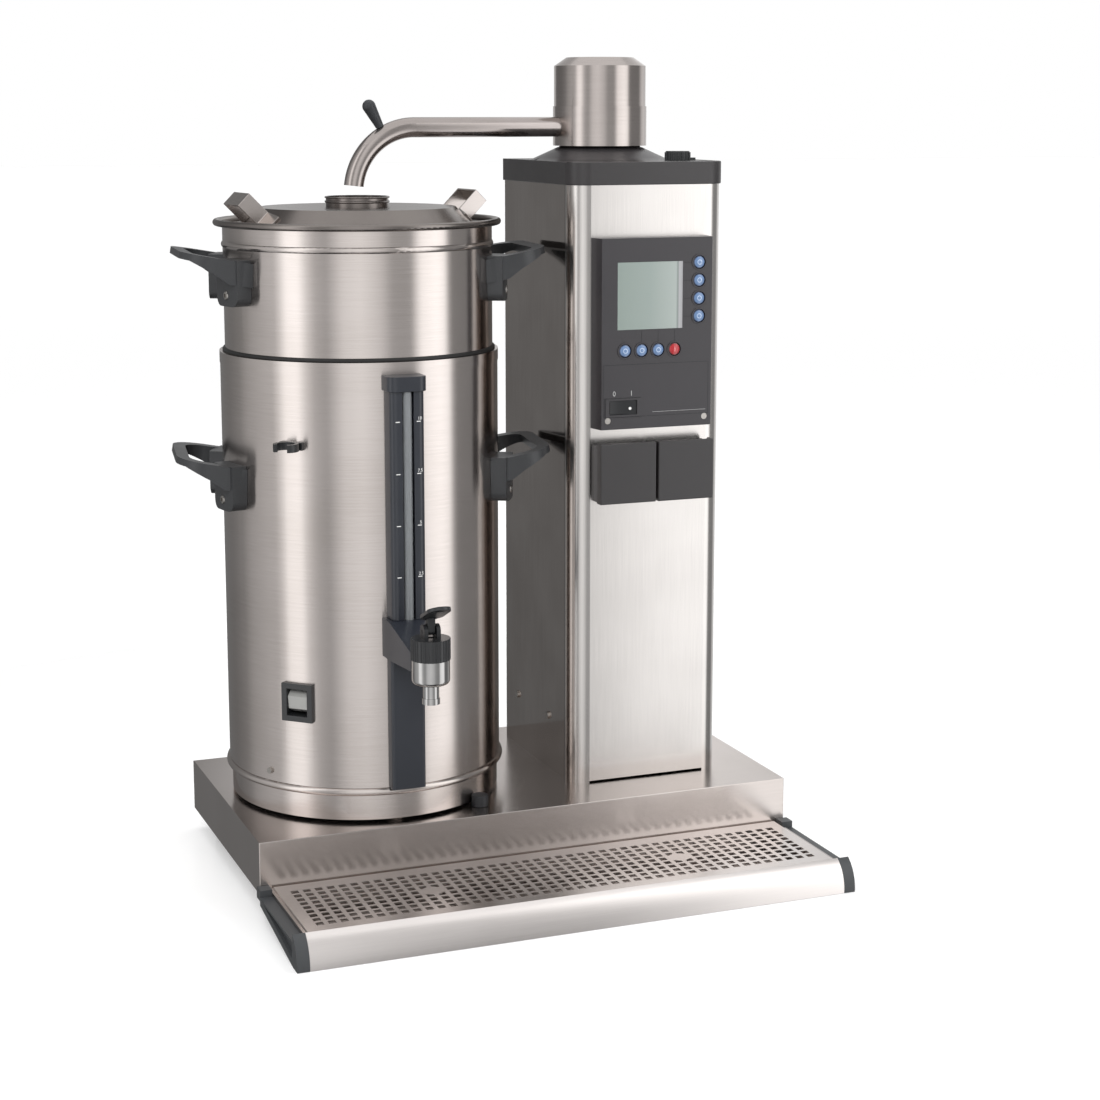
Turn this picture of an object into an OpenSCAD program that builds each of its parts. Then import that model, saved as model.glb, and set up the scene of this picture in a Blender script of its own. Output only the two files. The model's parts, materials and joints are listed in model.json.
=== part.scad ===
// Coffee urn on its brewer: a steel base with a drip tray, an upright column that heats and
// doses the water, a swivel arm that pours it, and a lift-off insulated urn with a filter
// basket and a lid on top. Millimetres. The origin is the centre of the whole part's
// footprint on the table. +X is right, -Y is the front with the tap, and +Z is up.

/* [Base] */
// Height of the base cabinet's folded sides
base_h = 55; // [50:1:70]
// Height of the rubber feet under the base
foot_h = 23.5; // [20:0.5:30]
// Radius of a rubber foot
foot_r = 16; // [14:1:20]
// Thickness of the base's steel sheet
base_sheet = 1.5; // [1:0.1:2]
// Deck left free in front of the urn
deck_front = 12; // [10:1:30]
// Deck left free to the left of the urn
deck_left = 13; // [10:1:30]
// Gap between the urn's handle and the column
handle_clear = 8.4; // [6:0.2:20]
// Deck left free to the right of the column
deck_right = 50.6; // [40:0.2:70]

/* [Column] */
// Width of the column
column_w = 175; // [168:1:190]
// Depth of the column
column_d = 205; // [195:1:215]
// Distance from the base's front face back to the column
column_y = 62.6; // [58:0.2:70]
// Radius of the column's two front corners
column_r = 20; // [15:1:24]
// Thickness of the column's steel sheet
column_sheet = 1.2; // [1:0.1:1.6]
// Height of the plastic cap on the column
cap_h = 24; // [20:1:30]
// How far the cap stands out past the steel
cap_lip = 2; // [1:0.5:3]
// Wall of the cap moulding
cap_wall = 3; // [2.5:0.5:4]
// Radius of the cone under the swivel head, at its foot
cone_r = 76; // [72:1:76]
// Height of that cone
cone_h = 13.6; // [12:0.2:15]

/* [Swivel head and arm] */
// Radius of the swivel head
head_r = 51; // [48:0.5:54]
// Height of the head's lower drum
head_body_h = 42.2; // [40:0.2:48]
// Height of the head's cap with its domed top
head_cap_h = 52; // [46:1:56]
// Wall of the head's two shells
head_wall = 1.6; // [1.2:0.1:2]
// Outer radius of the hollow spindle that the head turns on
spindle_r = 13; // [12:0.5:14]
// Outer radius of the pouring arm's tube
arm_r = 10.5; // [9:0.5:12]
// Wall of the arm's tube
arm_wall = 1.5; // [1:0.1:2]
// Distance from the column's left side to the head's axis
head_from_left = 74.6; // [74:0.2:78]
// Distance from the column's front to the head's axis
head_from_front = 108; // [100:1:112]
// Radius of the arm's bend on its centre line
bend_r = 68; // [60:1:75]
// Angle that the bend turns through
bend_angle = 83.5; // [75:0.5:90]
// Length of the grip on the arm
grip_knob_h = 30; // [26:1:36]
// Gap from the lid's collar up to the arm's mouth
pour_gap = 10.5; // [8:0.5:20]
// Radius of the filler plug in the cap
plug_r = 14; // [12:0.5:15]

/* [Control panel] */
// Width of the panel's face
panel_w = 127; // [124:1:134]
// Height of the panel
panel_h = 201; // [196:1:210]
// How far the panel stands out from the column
panel_d = 20; // [18:0.5:24]
// Width of the display window
window_w = 75; // [70:1:78]
// Height of the display window
window_h = 71; // [68:1:73]
// Radius of a push button
button_r = 6.9; // [6:0.1:7]
// Spacing of the push buttons
button_pitch = 19; // [18.8:0.1:19.4]
// Travel of a push button
button_travel = 1.2; // [1:0.1:1.5]
// Width of the service cover
cover_w = 121.4; // [118:0.2:122]
// Height of the service cover
cover_h = 55.5; // [53:0.5:57]
// Width of the power switch's rocker
rocker_w = 31; // [28:1:32]
// Height of the power switch's rocker
rocker_h = 14.6; // [12:0.2:15]

/* [Power sockets] */
// Width of one socket flap
flap_w = 64; // [60:1:65]
// Height of one socket flap
flap_h = 64.5; // [62:0.5:70]
// Radius of a socket's well
socket_r = 20; // [18:1:21]
// Depth of a socket's well behind the flap
socket_depth = 26; // [20:1:28]

/* [Urn] */
// Radius of the urn's outer shell
urn_r = 146; // [144:0.5:150]
// Height of the urn from the deck to its rim
urn_h = 476.4; // [460:0.2:500]
// Height of the urn's foot ring up to the middle of its bead
skirt_h = 33.8; // [30:0.2:38]
// Radius of the rolled bead round the foot ring
bead_r = 4; // [3:0.5:5]
// Thickness of the urn's steel sheet
urn_sheet = 1.2; // [1:0.1:1.5]
// Radius inside the coffee vessel
vessel_r = 123; // [118:0.5:125]
// Height of the vessel's floor above the deck
vessel_floor = 206; // [200:1:212]
// Turn of the tap and gauge round the urn, with 270 straight ahead
front_angle = 270; // [266:1:274]
// Width of the sight gauge's channel
channel_w = 36; // [34:1:42]
// How far the channel stands out from the shell
channel_d = 20.5; // [20:0.5:24]
// Outer radius of the gauge's glass tube
gauge_r = 5; // [4.5:0.1:5.2]

/* [Tap] */
// Distance from the urn's axis to the tap's axis
tap_reach = 230; // [222:1:236]
// Height of the tap's mount block above the deck, at its middle
tap_z = 197; // [190:1:200]
// Radius of the tap's metal body
tap_r = 19; // [18:0.5:21]
// Length of the tap's metal body
tap_h = 25; // [22:1:28]
// Radius of the tap's nozzle
nozzle_r = 8.1; // [7.5:0.1:9]
// Length of the tap's nozzle
nozzle_h = 20; // [18:1:24]
// Length of the tap lever's paddle
paddle_l = 46; // [40:1:50]
// Width of the tap lever's paddle
paddle_w = 24; // [20:1:28]

/* [Filter basket and lid] */
// Radius of the filter basket's drum
basket_r = 140.7; // [138.5:0.2:142]
// Height of the drum
basket_h = 127.5; // [120:0.5:135]
// Radius of the lid at its rolled rim
lid_r = 150.3; // [148:0.1:153]
// Radius of the flat top of the lid
lid_top_r = 103; // [98:1:106]
// Height that the lid rises above its gutter
lid_rise = 18.5; // [16:0.5:20]
// Radius of the hole that the arm pours through
collar_r = 31.5; // [30:0.5:34]
// Height of the collar round that hole
collar_h = 10.8; // [9:0.2:13]
// Width of the lid pulls' steel strip
pull_w = 17; // [15:0.5:19]
// Height of the lid pulls above the lid's slope
pull_h = 28; // [26:0.5:32]

/* [Side handles] */
// How far a side handle reaches out from the wall
handle_reach = 51; // [46:1:52]
// Width of a side handle across its arms
handle_w = 148; // [140:1:152]
// Height of a handle's two feet
handle_h = 47; // [42:1:52]
// Thickness of a handle's loop
handle_t = 7; // [6:0.5:9]
// Turn of the urn's handles from straight left and right
urn_handle_turn = -9; // [-12:1:-4]
// Turn of the basket's handles from straight left and right
basket_handle_turn = -6; // [-12:1:-4]

/* [Drip tray] */
// How far the tray reaches in front of the base
tray_d = 155; // [145:1:170]
// Height of the tray's top above the table
tray_top = 33.5; // [31:0.5:36]
// Gap under the tray's front
tray_gap = 0.5; // [0.3:0.1:3]
// Width of an end cap
end_w = 12.5; // [10:0.5:14]
// Spacing of the grid's square holes from side to side
grid_pitch_x = 12.35; // [12:0.05:13]
// Spacing of the grid's square holes from front to back
grid_pitch_y = 11.5; // [11:0.1:12]
// Side of a square hole
grid_hole = 7.6; // [6.5:0.1:8]

/* [Water heater] */
// Radius of the water heater's tank
boiler_r = 66; // [60:1:70]
// Height of the tank's straight wall
boiler_h = 250; // [200:5:280]
// Place of the tank from the column's front to its back
boiler_y_share = 0.52; // [0.5:0.01:0.56]

/* [Fits] */
// Gap between a moving piece and what it moves past
run_gap = 0.4; // [0.3:0.1:0.6]
// Gap between two fixed pieces that are fitted together
fit = 0.15; // [0.1:0.05:0.2]
// Radial clearance of a pin or spindle in its bore
pin_gap = 0.05; // [0.02:0.01:0.08]

/* [Hidden] */
$fn = 72;

// Overrun of every cut past the face that it opens
over = 1;

// Base
base_w = deck_left + 2 * urn_r + handle_reach + handle_clear + column_w + deck_right;
base_d = deck_front + 2 * urn_r;
deck_z = foot_h + base_h;
foot_x = 30;
foot_y = 39;
foot_taper = 2;
post_r = 8.8;
post_h = 12;
post_gap = 0.8;
post_angles = [-55, 60, 130];

// Places of the urn and the column on the base, from its left front corner
urn_x = deck_left + urn_r;
urn_y = deck_front + urn_r;
column_x = urn_x + urn_r + handle_reach + handle_clear;
column_cx = column_x + column_w / 2;
head_x = column_x + head_from_left;
head_y = column_y + head_from_front;
arm_reach = sqrt(pow(head_x - urn_x, 2) + pow(head_y - urn_y, 2));
arm_turn = 180 + atan2(head_y - urn_y, head_x - urn_x);

// Heights above the deck
basket_seat = 2.1;
basket_z = urn_h + basket_seat;
lid_z = basket_z + basket_h;
collar_z = lid_z + lid_rise + collar_h;
arm_z = collar_z + pour_gap + bend_r * (1 - cos(bend_angle));
arm_above_head_foot = 20.2;
neck_gap = 1.8;
head_z = arm_z - arm_above_head_foot;
cap_top_z = head_z - neck_gap - cone_h;
column_h = cap_top_z - cap_h;

// Column and its screws
seam = 0.8;
seam_from_corner = 3;
front_return = column_r + seam_from_corner;
plinth_gap = 2;
panel_hole_inset = 8;
socket_hole_gap = 1.5;
cover_screw_front = 72;
cover_screw_rear = 38;
cover_screw_z = 60;
screw_r = 2;
screw_head_r = 4.2;
screw_head_h = 2.2;
screw_l = 9;

// Cap, bearing and filler plug
bearing_wall = 7;
bearing_drop = 30;
cap_spigot = 6;
cone_top_r = 46;
plug_x = 138.1;
plug_y = 42.4;
plug_h = 10;
plug_stem_r = 9.5;
plug_stem_l = 11;
plug_ribs = 16;
plug_rib_r = 1.2;
plug_tab = 6;
plug_tab_h = 3;

// Swivel head and arm
spindle_wall = 3;
spindle_past = 4;
hub_r = 20;
hub_h = 30;
dome_edge_r = 13;
dome_edge_h = 9;
head_cap_step = 1.1;
mouth_past = 3.4;
bend_x = arm_reach + mouth_past - bend_r * sin(bend_angle);
bend_thin = 0.05;
arm_in = 12.5;
grip_at = 29;
grip_foot_r = 4.4;
grip_top_r = 7;

// Control panel
panel_top = -54.4;
panel_draft = 3.6;
panel_wall = 2.5;
panel_face = 3;
window_x = -8.2;
window_drop = 60.5;
window_z = panel_top - window_drop;
button_row_x = -36.9;
button_row_drop = 118;
button_row_z = panel_top - button_row_drop;
button_column_x = 48.2;
button_column_drop = 26.7;
button_column_z = panel_top - button_column_drop;
cover_x = -0.7;
cover_drop = 132.5;
cover_z = panel_top - cover_drop - cover_h / 2;
cover_t = 1.5;
panel_screw_side = 7.5;
panel_screw_up = 9.4;
panel_screw_r = 3.3;
screw_sink = 2.6;
bezel_rise = 0.8;
bezel_w = 1.2;
dome_r = 15;
button_proud = 1.7;
board_t = 1.6;
board_back = 4;
board_gap = 1.5;
board_below = 16;
board_post_r = 3;
board_post_in = 5;
board_h = panel_h - cover_h - board_below;
button_body = panel_d - board_back - board_t - button_travel - run_gap;

// Power switch
rocker_left = 38;
rocker_drop = 17.7;
rocker_x = cover_x - rocker_left;
rocker_z = cover_z - rocker_drop;
rocker_frame_w = 4.6;
rocker_frame_h = 2.1;
rocker_swing = 12;
rocker_depth = 7;
rocker_pivot_in = 4;
rocker_pivot = panel_d - rocker_pivot_in;
rocker_proud = 3.2;
rocker_ease = 1;
rocker_rise = 1.5;
rocker_wall = 1.6;
rocker_box_d = 10;
rocker_pin_r = 1.2;
rocker_pin_l = 1.2;

// Power sockets
socket_drop = 15;
socket_top = panel_top - panel_h - socket_drop;
socket_mid = socket_top - flap_h / 2;
flap_gap = 3;
flap_pitch = flap_w + flap_gap;
socket_wall = 2;
box_d = 8;
hinge_y = 12;
hinge_drop = 4;
hinge_pin_r = 1.5;
lug_r = 3.2;
lug_t = 4;
lug_share = 0.34;
flap_t = 4;
flap_d = 24;
flap_wall = 2;
contact_r = 2.4;
contact_l = 14;

// Water heater, pipes, inlet valve and mains gland
boiler_z = 46;
boiler_dome = 16;
boiler_leg_r = 5;
boiler_leg_share = 0.7;
tank_wall = 1.5;
boiler_y = column_y + column_d * boiler_y_share;
feed_from_axis = [-30, 10];
feed_hole = 40;
pipe_r = 7;
pipe_wall = 1;
riser_clear = 1;
riser_r = spindle_r - spindle_wall - riser_clear;
inlet_x = column_cx + feed_from_axis[0];
inlet_out = 22;
inlet_thread_r = 13.2;
inlet_neck_r = 12.4;
inlet_neck_l = 0.5;
thread_bore_r = 9;
valve_flange_r = 18;
valve_flange_t = 3;
valve_r = 11;
valve_l = 34;
port_z = foot_h + base_h / 2;
gland_share = 0.78;
gland_x = column_x + column_w * gland_share;
gland_thread_r = 10;
gland_bore_r = 4.5;
gland_out = 14;
gland_hex_r = 13;
gland_nut_t = 5;

// Urn
skirt_step = 2.6;
skirt_foot = 3.6;
skirt_foot_r = 10;
skirt_foot_share = 0.75;
bead_inset = 0.7;
rim_band_h = 12;
rim_band_t = 0.5;
shell_foot = skirt_h + bead_r + fit;
vessel_lip = 16;
lip_drop = urn_sheet + fit;
heater_t = 9;
heater_r = 74;
heater_in_r = 34;
sump_at = 103;
sump_r = 17;
inner_depth = 20;
urn_handle_z = 365;
skirt_screw_angle = 211.2;
skirt_screw_z = 48.4;

// Tap and gauge
mount_h = 40;
mount_w = 46;
mount_end_w = 36;
mount_end_in = 8;
mount_end = tap_reach - mount_end_in;
mount_end_top = 6;
mount_step = 2;
strip_w = 36;
strip_d = 12;
strip_round = 3;
channel_top = 449;
channel_cap_h = 15;
channel_cap_grow = 2.5;
channel_round = 7;
slot_w = 12;
slot_d = 10;
gauge_wall = 1;
body_drop = 5;
body_top = tap_z - body_drop;
body_round = 5;
shank_r = 6.5;
shank_wall = 2;
shank_drop = 0.8;
shank_z = body_top - shank_drop - shank_r;
bonnet_h = 21.5;
bonnet_r = 19.8;
bonnet_ribs = 30;
bonnet_rib_r = 0.6;
neck_r = 13;
neck_h = 8;
stem_r = 4;
seal_t = 4;
nozzle_wall = 2;
lip_h = 6;
lip_out = 0.8;
lever_rise = 7;
lever_z = body_top + bonnet_h + lever_rise;
lever_pin_r = 2;
lever_t = 8;
fork_gap = 9;
fork_t = 4;
fork_r = 7;
stem_lift = 4;
stem_top = lever_z - 2 * lever_pin_r - stem_lift - run_gap;
paddle_t = 4;
paddle_tilt = 24;
lever_up = 14;

// Urn's switch, clip and inlet
switch_angle = 226;
switch_z = 126.4;
switch_w = 35;
switch_h = 40;
frame_proud = 4;
rocker_side = 6;
switch_axis = 1;
switch_swing = 12;
clip_angle = 225.6;
clip_drop = 88.4;
clip_z = urn_h - clip_drop;
clip_r = 13;
clip_wall = 4;
clip_h = 8;
clip_pad_w = 26;
clip_mouth = 70;
power_angle = 62;
power_z = 74;
power_w = 48;
power_h = 28;
power_pin_r = 2;
power_pin_l = 12;

// Filter basket
spigot_l = 12;
stand_r = 136;
stand_w = 8;
drum_bead_drop = 19;
drum_bead_r = 4;
drum_bead_in = 2.5;
outlet_r = 18;
outlet_l = 14;
basket_handle_drop = 31;
insert_r = 126;
insert_foot_r = 112;
insert_h = 92;
insert_leg = 6;
insert_wall = 1;
insert_lip = 4;
insert_leg_r = 4;
drain_r = 4;
drain_rings = [0.35, 0.6, 0.85];
drains = 18;

// Lid
rim_r = 3.5;
lid_spigot_h = 7;
pull_legs = 48;
pull_t = 2;
pull_foot = 24;
pull_foot_drop = 13;
pull_seat = 3;
pull_turn = 5;
lip_r = 0.9;
collar_bead_r = 1.3;

// Side handles
handle_tilt = 10;
handle_corner_share = 0.236;
handle_corner = handle_w * handle_corner_share;
bar_w = 13;
loop_root = 24;
hole_margin = 14;
hole_corner_share = 0.15;
ear_d = 16;
ear_w = 43;
ear_mid = 21;
ear_corner = 10;
web_from = 9;
web_drop = 16;
web_root = 24;
ear_screw_drop = 36;
ear_screw_r = 2.6;
ear_head_r = 4.6;
ear_head_h = 3;

// Drip tray
tray_over = 3.5;
tray_w = base_w + 2 * tray_over;
tray_rear_gap = 0.5;
profile_d = 16;
profile_t = 2;
profile_curve = 35.2;
profile_low = 4;
rail_foot = 18;
rail_top = 26.5;
rear_block_d = 14;
rear_block_h = 11;
pocket_d = 4;
pocket_wall = 2.5;
grid_t = 1.5;
grid_side = 4;
grid_rear = 3;
grid_drop = 1.8;
grid_margin_x = 12;
grid_margin_y = 16;
grid_ledge = 7;
basin_t = 1.2;
basin_floor = 12.5;
basin_foot_r = 8;
basin_foot_in = 24;
grid_w = tray_w - 2 * end_w - 2 * grid_side;
grid_l = tray_d - profile_d - grid_rear - run_gap;
grid_cols = floor((grid_w - 2 * grid_margin_x - grid_hole) / grid_pitch_x) + 1;
grid_rows = floor((grid_l - 2 * grid_margin_y - grid_hole) / grid_pitch_y) + 1;
grid_disc_r = 11;
grid_disc_at = floor(grid_cols / 4) * grid_pitch_x;

// Footprint of the whole part, which puts the origin under its middle
handle_flat = handle_reach - handle_corner * cos(handle_tilt);
left_reach = (urn_r + handle_flat) * cos(urn_handle_turn)
    + (handle_w / 2 - handle_corner) * sin(-urn_handle_turn)
    + sqrt(pow(handle_corner * cos(handle_tilt) * cos(urn_handle_turn), 2)
        + pow(handle_corner * sin(urn_handle_turn), 2));
mid_x = (urn_x - left_reach + base_w + tray_over) / 2;
mid_y = (base_d + inlet_out - tray_d) / 2;

// Places a child by machine coordinates, with its z measured from the table
module machine(x, y, z) {
    translate([x - mid_x, y - mid_y, z]) children();
}

// Urn's own frame: axis at the origin, deck at zero, +X turned to face the given way
module at_urn(angle = 0) {
    machine(urn_x, urn_y, deck_z) rotate([0, 0, angle]) children();
}

// Head's own frame: axis at the origin, deck at zero, +X along the arm
module at_head() {
    machine(head_x, head_y, deck_z) rotate([0, 0, arm_turn]) children();
}

// Column's front face: x from its middle, z from its top edge
module at_face(x, z) {
    machine(column_cx + x, column_y, deck_z + column_h + z) children();
}

// Extrudes a child drawn in the YZ plane along X, from x for a length of l
module along_x(x, l) {
    machine(x, 0, 0) rotate([90, 0, 90]) linear_extrude(l) children();
}

// Thin-walled round tube standing on the origin
module tube(r, wall, h) {
    difference() {
        cylinder(r = r, h = h);
        translate([0, 0, -over]) cylinder(r = r - wall, h = h + 2 * over);
    }
}

// Round bead run in a circle of radius r
module bead_ring(r, section_r) {
    rotate_extrude() translate([r, 0]) circle(r = section_r, $fn = 32);
}

// Rectangle with round corners, centred
module round_rect(w, d, r) {
    square([w - 2 * r, d], center = true);
    square([w, d - 2 * r], center = true);
    for (sx = [-1, 1], sy = [-1, 1]) translate([sx * (w / 2 - r), sy * (d / 2 - r)]) circle(r = r);
}

// Cylinder along +Y, starting at the origin
module rod_y(r, l) {
    rotate([-90, 0, 0]) cylinder(r = r, h = l);
}

// Cylinder along +X, starting at the origin
module rod_x(r, l) {
    rotate([0, 90, 0]) cylinder(r = r, h = l);
}

// Bend of a rod in the XY plane
module rod_bend(r_bend, r, from, to) {
    rotate([0, 0, from]) rotate_extrude(angle = to - from) translate([r_bend, 0]) circle(r = r);
}

// Block with its x from the origin, centred in y and z
module slab(l, w, h) {
    translate([0, -w / 2, -h / 2]) cube([l, w, h]);
}

// Base: folded cabinet, bottom plate, feet and the posts that place the urn
module base_cabinet() {
    color("silver") difference() {
        machine(0, 0, foot_h) cube([base_w, base_d, base_h]);
        machine(base_sheet, base_sheet, foot_h - over)
            cube([base_w - 2 * base_sheet, base_d - 2 * base_sheet, base_h - base_sheet + over]);
        machine(inlet_x, boiler_y + feed_from_axis[1], deck_z)
            cube([feed_hole, feed_hole, 3 * base_sheet], center = true);
        machine(inlet_x, base_d - base_sheet - over, port_z)
            rod_y(inlet_thread_r + fit, base_sheet + 2 * over);
        machine(gland_x, base_d - base_sheet - over, port_z)
            rod_y(gland_thread_r + fit, base_sheet + 2 * over);
    }
}

module base_plate() {
    inset = base_sheet + run_gap;
    color("gray") machine(inset, inset, foot_h)
        cube([base_w - 2 * inset, base_d - 2 * inset, base_sheet]);
}

module feet() {
    color("#242424") for (x = [foot_x, base_w - foot_x], y = [foot_y, base_d - foot_y])
        machine(x, y, 0) cylinder(r1 = foot_r - foot_taper, r2 = foot_r, h = foot_h);
}

module locating_posts() {
    color("#2b2e33") for (a = post_angles) at_urn(a)
        translate([urn_r - skirt_step + post_r + post_gap, 0, 0]) cylinder(r = post_r, h = post_h);
}

// Column: front panel that wraps both front corners, and the cover round sides and back
module front_outline(corner, inset) {
    translate([0, column_r]) {
        intersection() {
            for (sx = [-1, 1]) translate([sx * (column_w / 2 - column_r), 0]) circle(r = corner);
            translate([-column_w, -column_w]) square([2 * column_w, column_w]);
        }
        translate([-column_w / 2 + column_r, -corner]) square([column_w - 2 * column_r, corner]);
        translate([-column_w / 2 + inset, 0]) square([column_w - 2 * inset, seam_from_corner]);
    }
}

module column_front_panel() {
    color("gainsboro") difference() {
        machine(column_cx, column_y, deck_z) linear_extrude(column_h) difference() {
            front_outline(column_r, 0);
            front_outline(column_r - column_sheet, column_sheet);
            translate([-column_w / 2 + column_sheet, column_r])
                square([column_w - 2 * column_sheet, column_d]);
        }
        at_face(0, panel_top - panel_h / 2)
            cube([panel_w - 2 * panel_hole_inset, column_r, panel_h - 2 * panel_hole_inset],
                center = true);
        for (sx = [-1, 1]) at_face(sx * flap_pitch / 2, socket_mid)
            translate([0, -over, 0]) rod_y(socket_r + socket_wall + socket_hole_gap, column_r);
        at_face(0, -column_h) cube([column_w - 2 * column_r, column_r, plinth_gap * 2], center = true);
    }
}

module column_rear_cover() {
    color("dimgray") difference() {
        machine(column_x, column_y + front_return + seam, deck_z)
            cube([column_w, column_d - front_return - seam, column_h]);
        machine(column_x + column_sheet, column_y, deck_z - over)
            cube([column_w - 2 * column_sheet, column_d - column_sheet, column_h + 2 * over]);
        for (y = [cover_screw_front, column_d - cover_screw_rear])
            machine(column_x - over, column_y + y, deck_z + cover_screw_z)
                rod_x(screw_r + fit, column_w + 2 * over);
    }
}

// Screw with its head outwards along -Y and its seat at the origin
module screw_y(head_r) {
    translate([0, -screw_head_h, 0]) rod_y(head_r, screw_head_h);
    rod_y(screw_r, screw_l);
}

module machine_screws() {
    color("silver") {
        for (y = [cover_screw_front, column_d - cover_screw_rear], s = [0, 1])
            machine(column_x + s * column_w, column_y + y, deck_z + cover_screw_z)
                rotate([0, 0, s == 0 ? -90 : 90]) screw_y(screw_head_r);
        for (sx = [-1, 1]) at_panel_screw(sx) translate([0, screw_sink, 0]) screw_y(panel_screw_r);
    }
}

// Cap of the column with its cone, spindle bearing and filler hole
module cap_outline(grow) {
    r = column_r + grow;
    w = column_w + 2 * grow;
    for (sx = [-1, 1]) translate([sx * (w / 2 - r), r - grow]) circle(r = r);
    translate([-w / 2 + r, -grow]) square([w - 2 * r, r]);
    translate([-w / 2, r - grow]) square([w, column_d + 2 * grow - r]);
}

module top_cap() {
    inner = -column_sheet - run_gap;
    color("#3a3c3e") difference() {
        union() {
            machine(column_cx, column_y, deck_z + column_h) linear_extrude(cap_h) cap_outline(cap_lip);
            machine(column_cx, column_y, deck_z + column_h - cap_spigot)
                linear_extrude(cap_h) cap_outline(inner);
            at_head() translate([0, 0, cap_top_z]) {
                cylinder(r1 = cone_r, r2 = cone_top_r, h = cone_h);
                cylinder(r = cone_top_r - neck_gap, h = cone_h + neck_gap - run_gap);
            }
        }
        difference() {
            union() {
                machine(column_cx, column_y, deck_z + column_h - cap_spigot - over)
                    linear_extrude(cap_h + cap_spigot - cap_wall + over) cap_outline(inner - cap_wall);
                at_head() translate([0, 0, cap_top_z - 2 * cap_wall])
                    cylinder(r1 = cone_r - cap_wall, r2 = cone_top_r - 2 * cap_wall, h = cone_h + cap_wall);
            }
            at_head() translate([0, 0, cap_top_z - bearing_drop])
                cylinder(r = spindle_r + bearing_wall, h = 2 * bearing_drop);
            machine(column_x + plug_x, column_y + plug_y, deck_z + cap_top_z - bearing_drop / 2)
                cylinder(r = plug_stem_r + cap_wall, h = bearing_drop);
        }
        at_head() translate([0, 0, cap_top_z - bearing_drop - over])
            cylinder(r = spindle_r + pin_gap, h = bearing_drop + cone_h + neck_gap + 2 * over);
        machine(column_x + plug_x, column_y + plug_y, deck_z + cap_top_z - bearing_drop)
            cylinder(r = plug_stem_r + pin_gap, h = bearing_drop + over);
    }
}

module filler_plug() {
    color("#26313a") machine(column_x + plug_x, column_y + plug_y, deck_z + cap_top_z) {
        cylinder(r = plug_r - plug_rib_r, h = plug_h);
        for (i = [1 : plug_ribs]) rotate([0, 0, i * 360 / plug_ribs])
            translate([plug_r - plug_rib_r, 0, 0]) cylinder(r = plug_rib_r, h = plug_h - plug_rib_r);
        translate([0, 0, plug_tab_h / 2]) slab(plug_r + plug_tab, plug_tab, plug_tab_h);
        translate([0, 0, -plug_stem_l]) cylinder(r = plug_stem_r, h = plug_stem_l + over);
    }
}

// Panel's lower corner screws, on its face
module at_panel_screw(sx) {
    at_face(sx * (panel_w / 2 - panel_screw_side), panel_top - panel_h + panel_screw_up)
        translate([0, -panel_d, 0]) children();
}

// Control panel: the buttons run four down the right side, then four along the row
function button_x(i) = i < 4 ? button_column_x : button_row_x + (i - 4) * button_pitch;
function button_z(i) = i < 4 ? button_column_z - i * button_pitch : button_row_z;

module at_button(i) {
    at_face(button_x(i), button_z(i)) translate([0, -panel_d, 0]) children();
}

module panel_housing() {
    hw = panel_w / 2;
    guide_r = button_r + run_gap + bezel_w;
    behind = panel_d - board_back - board_t;
    color("#434446") difference() {
        union() {
            at_face(0, panel_top - panel_h) linear_extrude(panel_h)
                polygon([[-hw - panel_draft, 0], [hw + panel_draft, 0], [hw, -panel_d], [-hw, -panel_d]]);
            for (i = [0 : 7]) at_button(i) translate([0, -bezel_rise, 0]) rod_y(guide_r, panel_d / 2);
        }
        difference() {
            at_face(0, panel_top - panel_h + panel_wall)
                translate([-hw + panel_wall, -panel_d + panel_face, 0])
                    cube([panel_w - 2 * panel_wall, panel_d + over, panel_h - 2 * panel_wall]);
            for (i = [0 : 7]) at_button(i) rod_y(guide_r, behind - run_gap);
            for (sx = [-1, 1], z = [board_post_in, board_h - board_post_in])
                at_face(sx * (hw - panel_wall - board_gap - board_post_in),
                    panel_top - panel_wall - board_gap - z)
                    translate([0, -panel_d, 0]) rod_y(board_post_r, behind);
            for (sx = [-1, 1]) at_panel_screw(sx) rod_y(panel_screw_r + panel_wall, panel_d);
        }
        for (i = [0 : 7]) at_button(i) translate([0, -bezel_rise - over, 0])
            rod_y(button_r + run_gap, 2 * panel_d);
        at_face(window_x, window_z) cube([window_w, 4 * panel_d, window_h], center = true);
        at_face(cover_x, cover_z) translate([0, -panel_d, 0])
            cube([cover_w + 2 * fit, 2 * cover_t, cover_h + 2 * fit], center = true);
        at_face(rocker_x, rocker_z) translate([0, -panel_d, 0])
            cube([rocker_w + 6 * rocker_wall, panel_d, rocker_h + 4 * rocker_wall], center = true);
        for (sx = [-1, 1]) at_panel_screw(sx) {
            translate([0, -over, 0]) rod_y(panel_screw_r + fit, screw_sink + over);
            rod_y(screw_r + fit, 2 * panel_d);
        }
    }
}

module display_window() {
    color("#b9c4bd") at_face(window_x, window_z) translate([0, -panel_d + panel_face / 2, 0])
        cube([window_w - 2 * fit, panel_face, window_h - 2 * fit], center = true);
}

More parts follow.
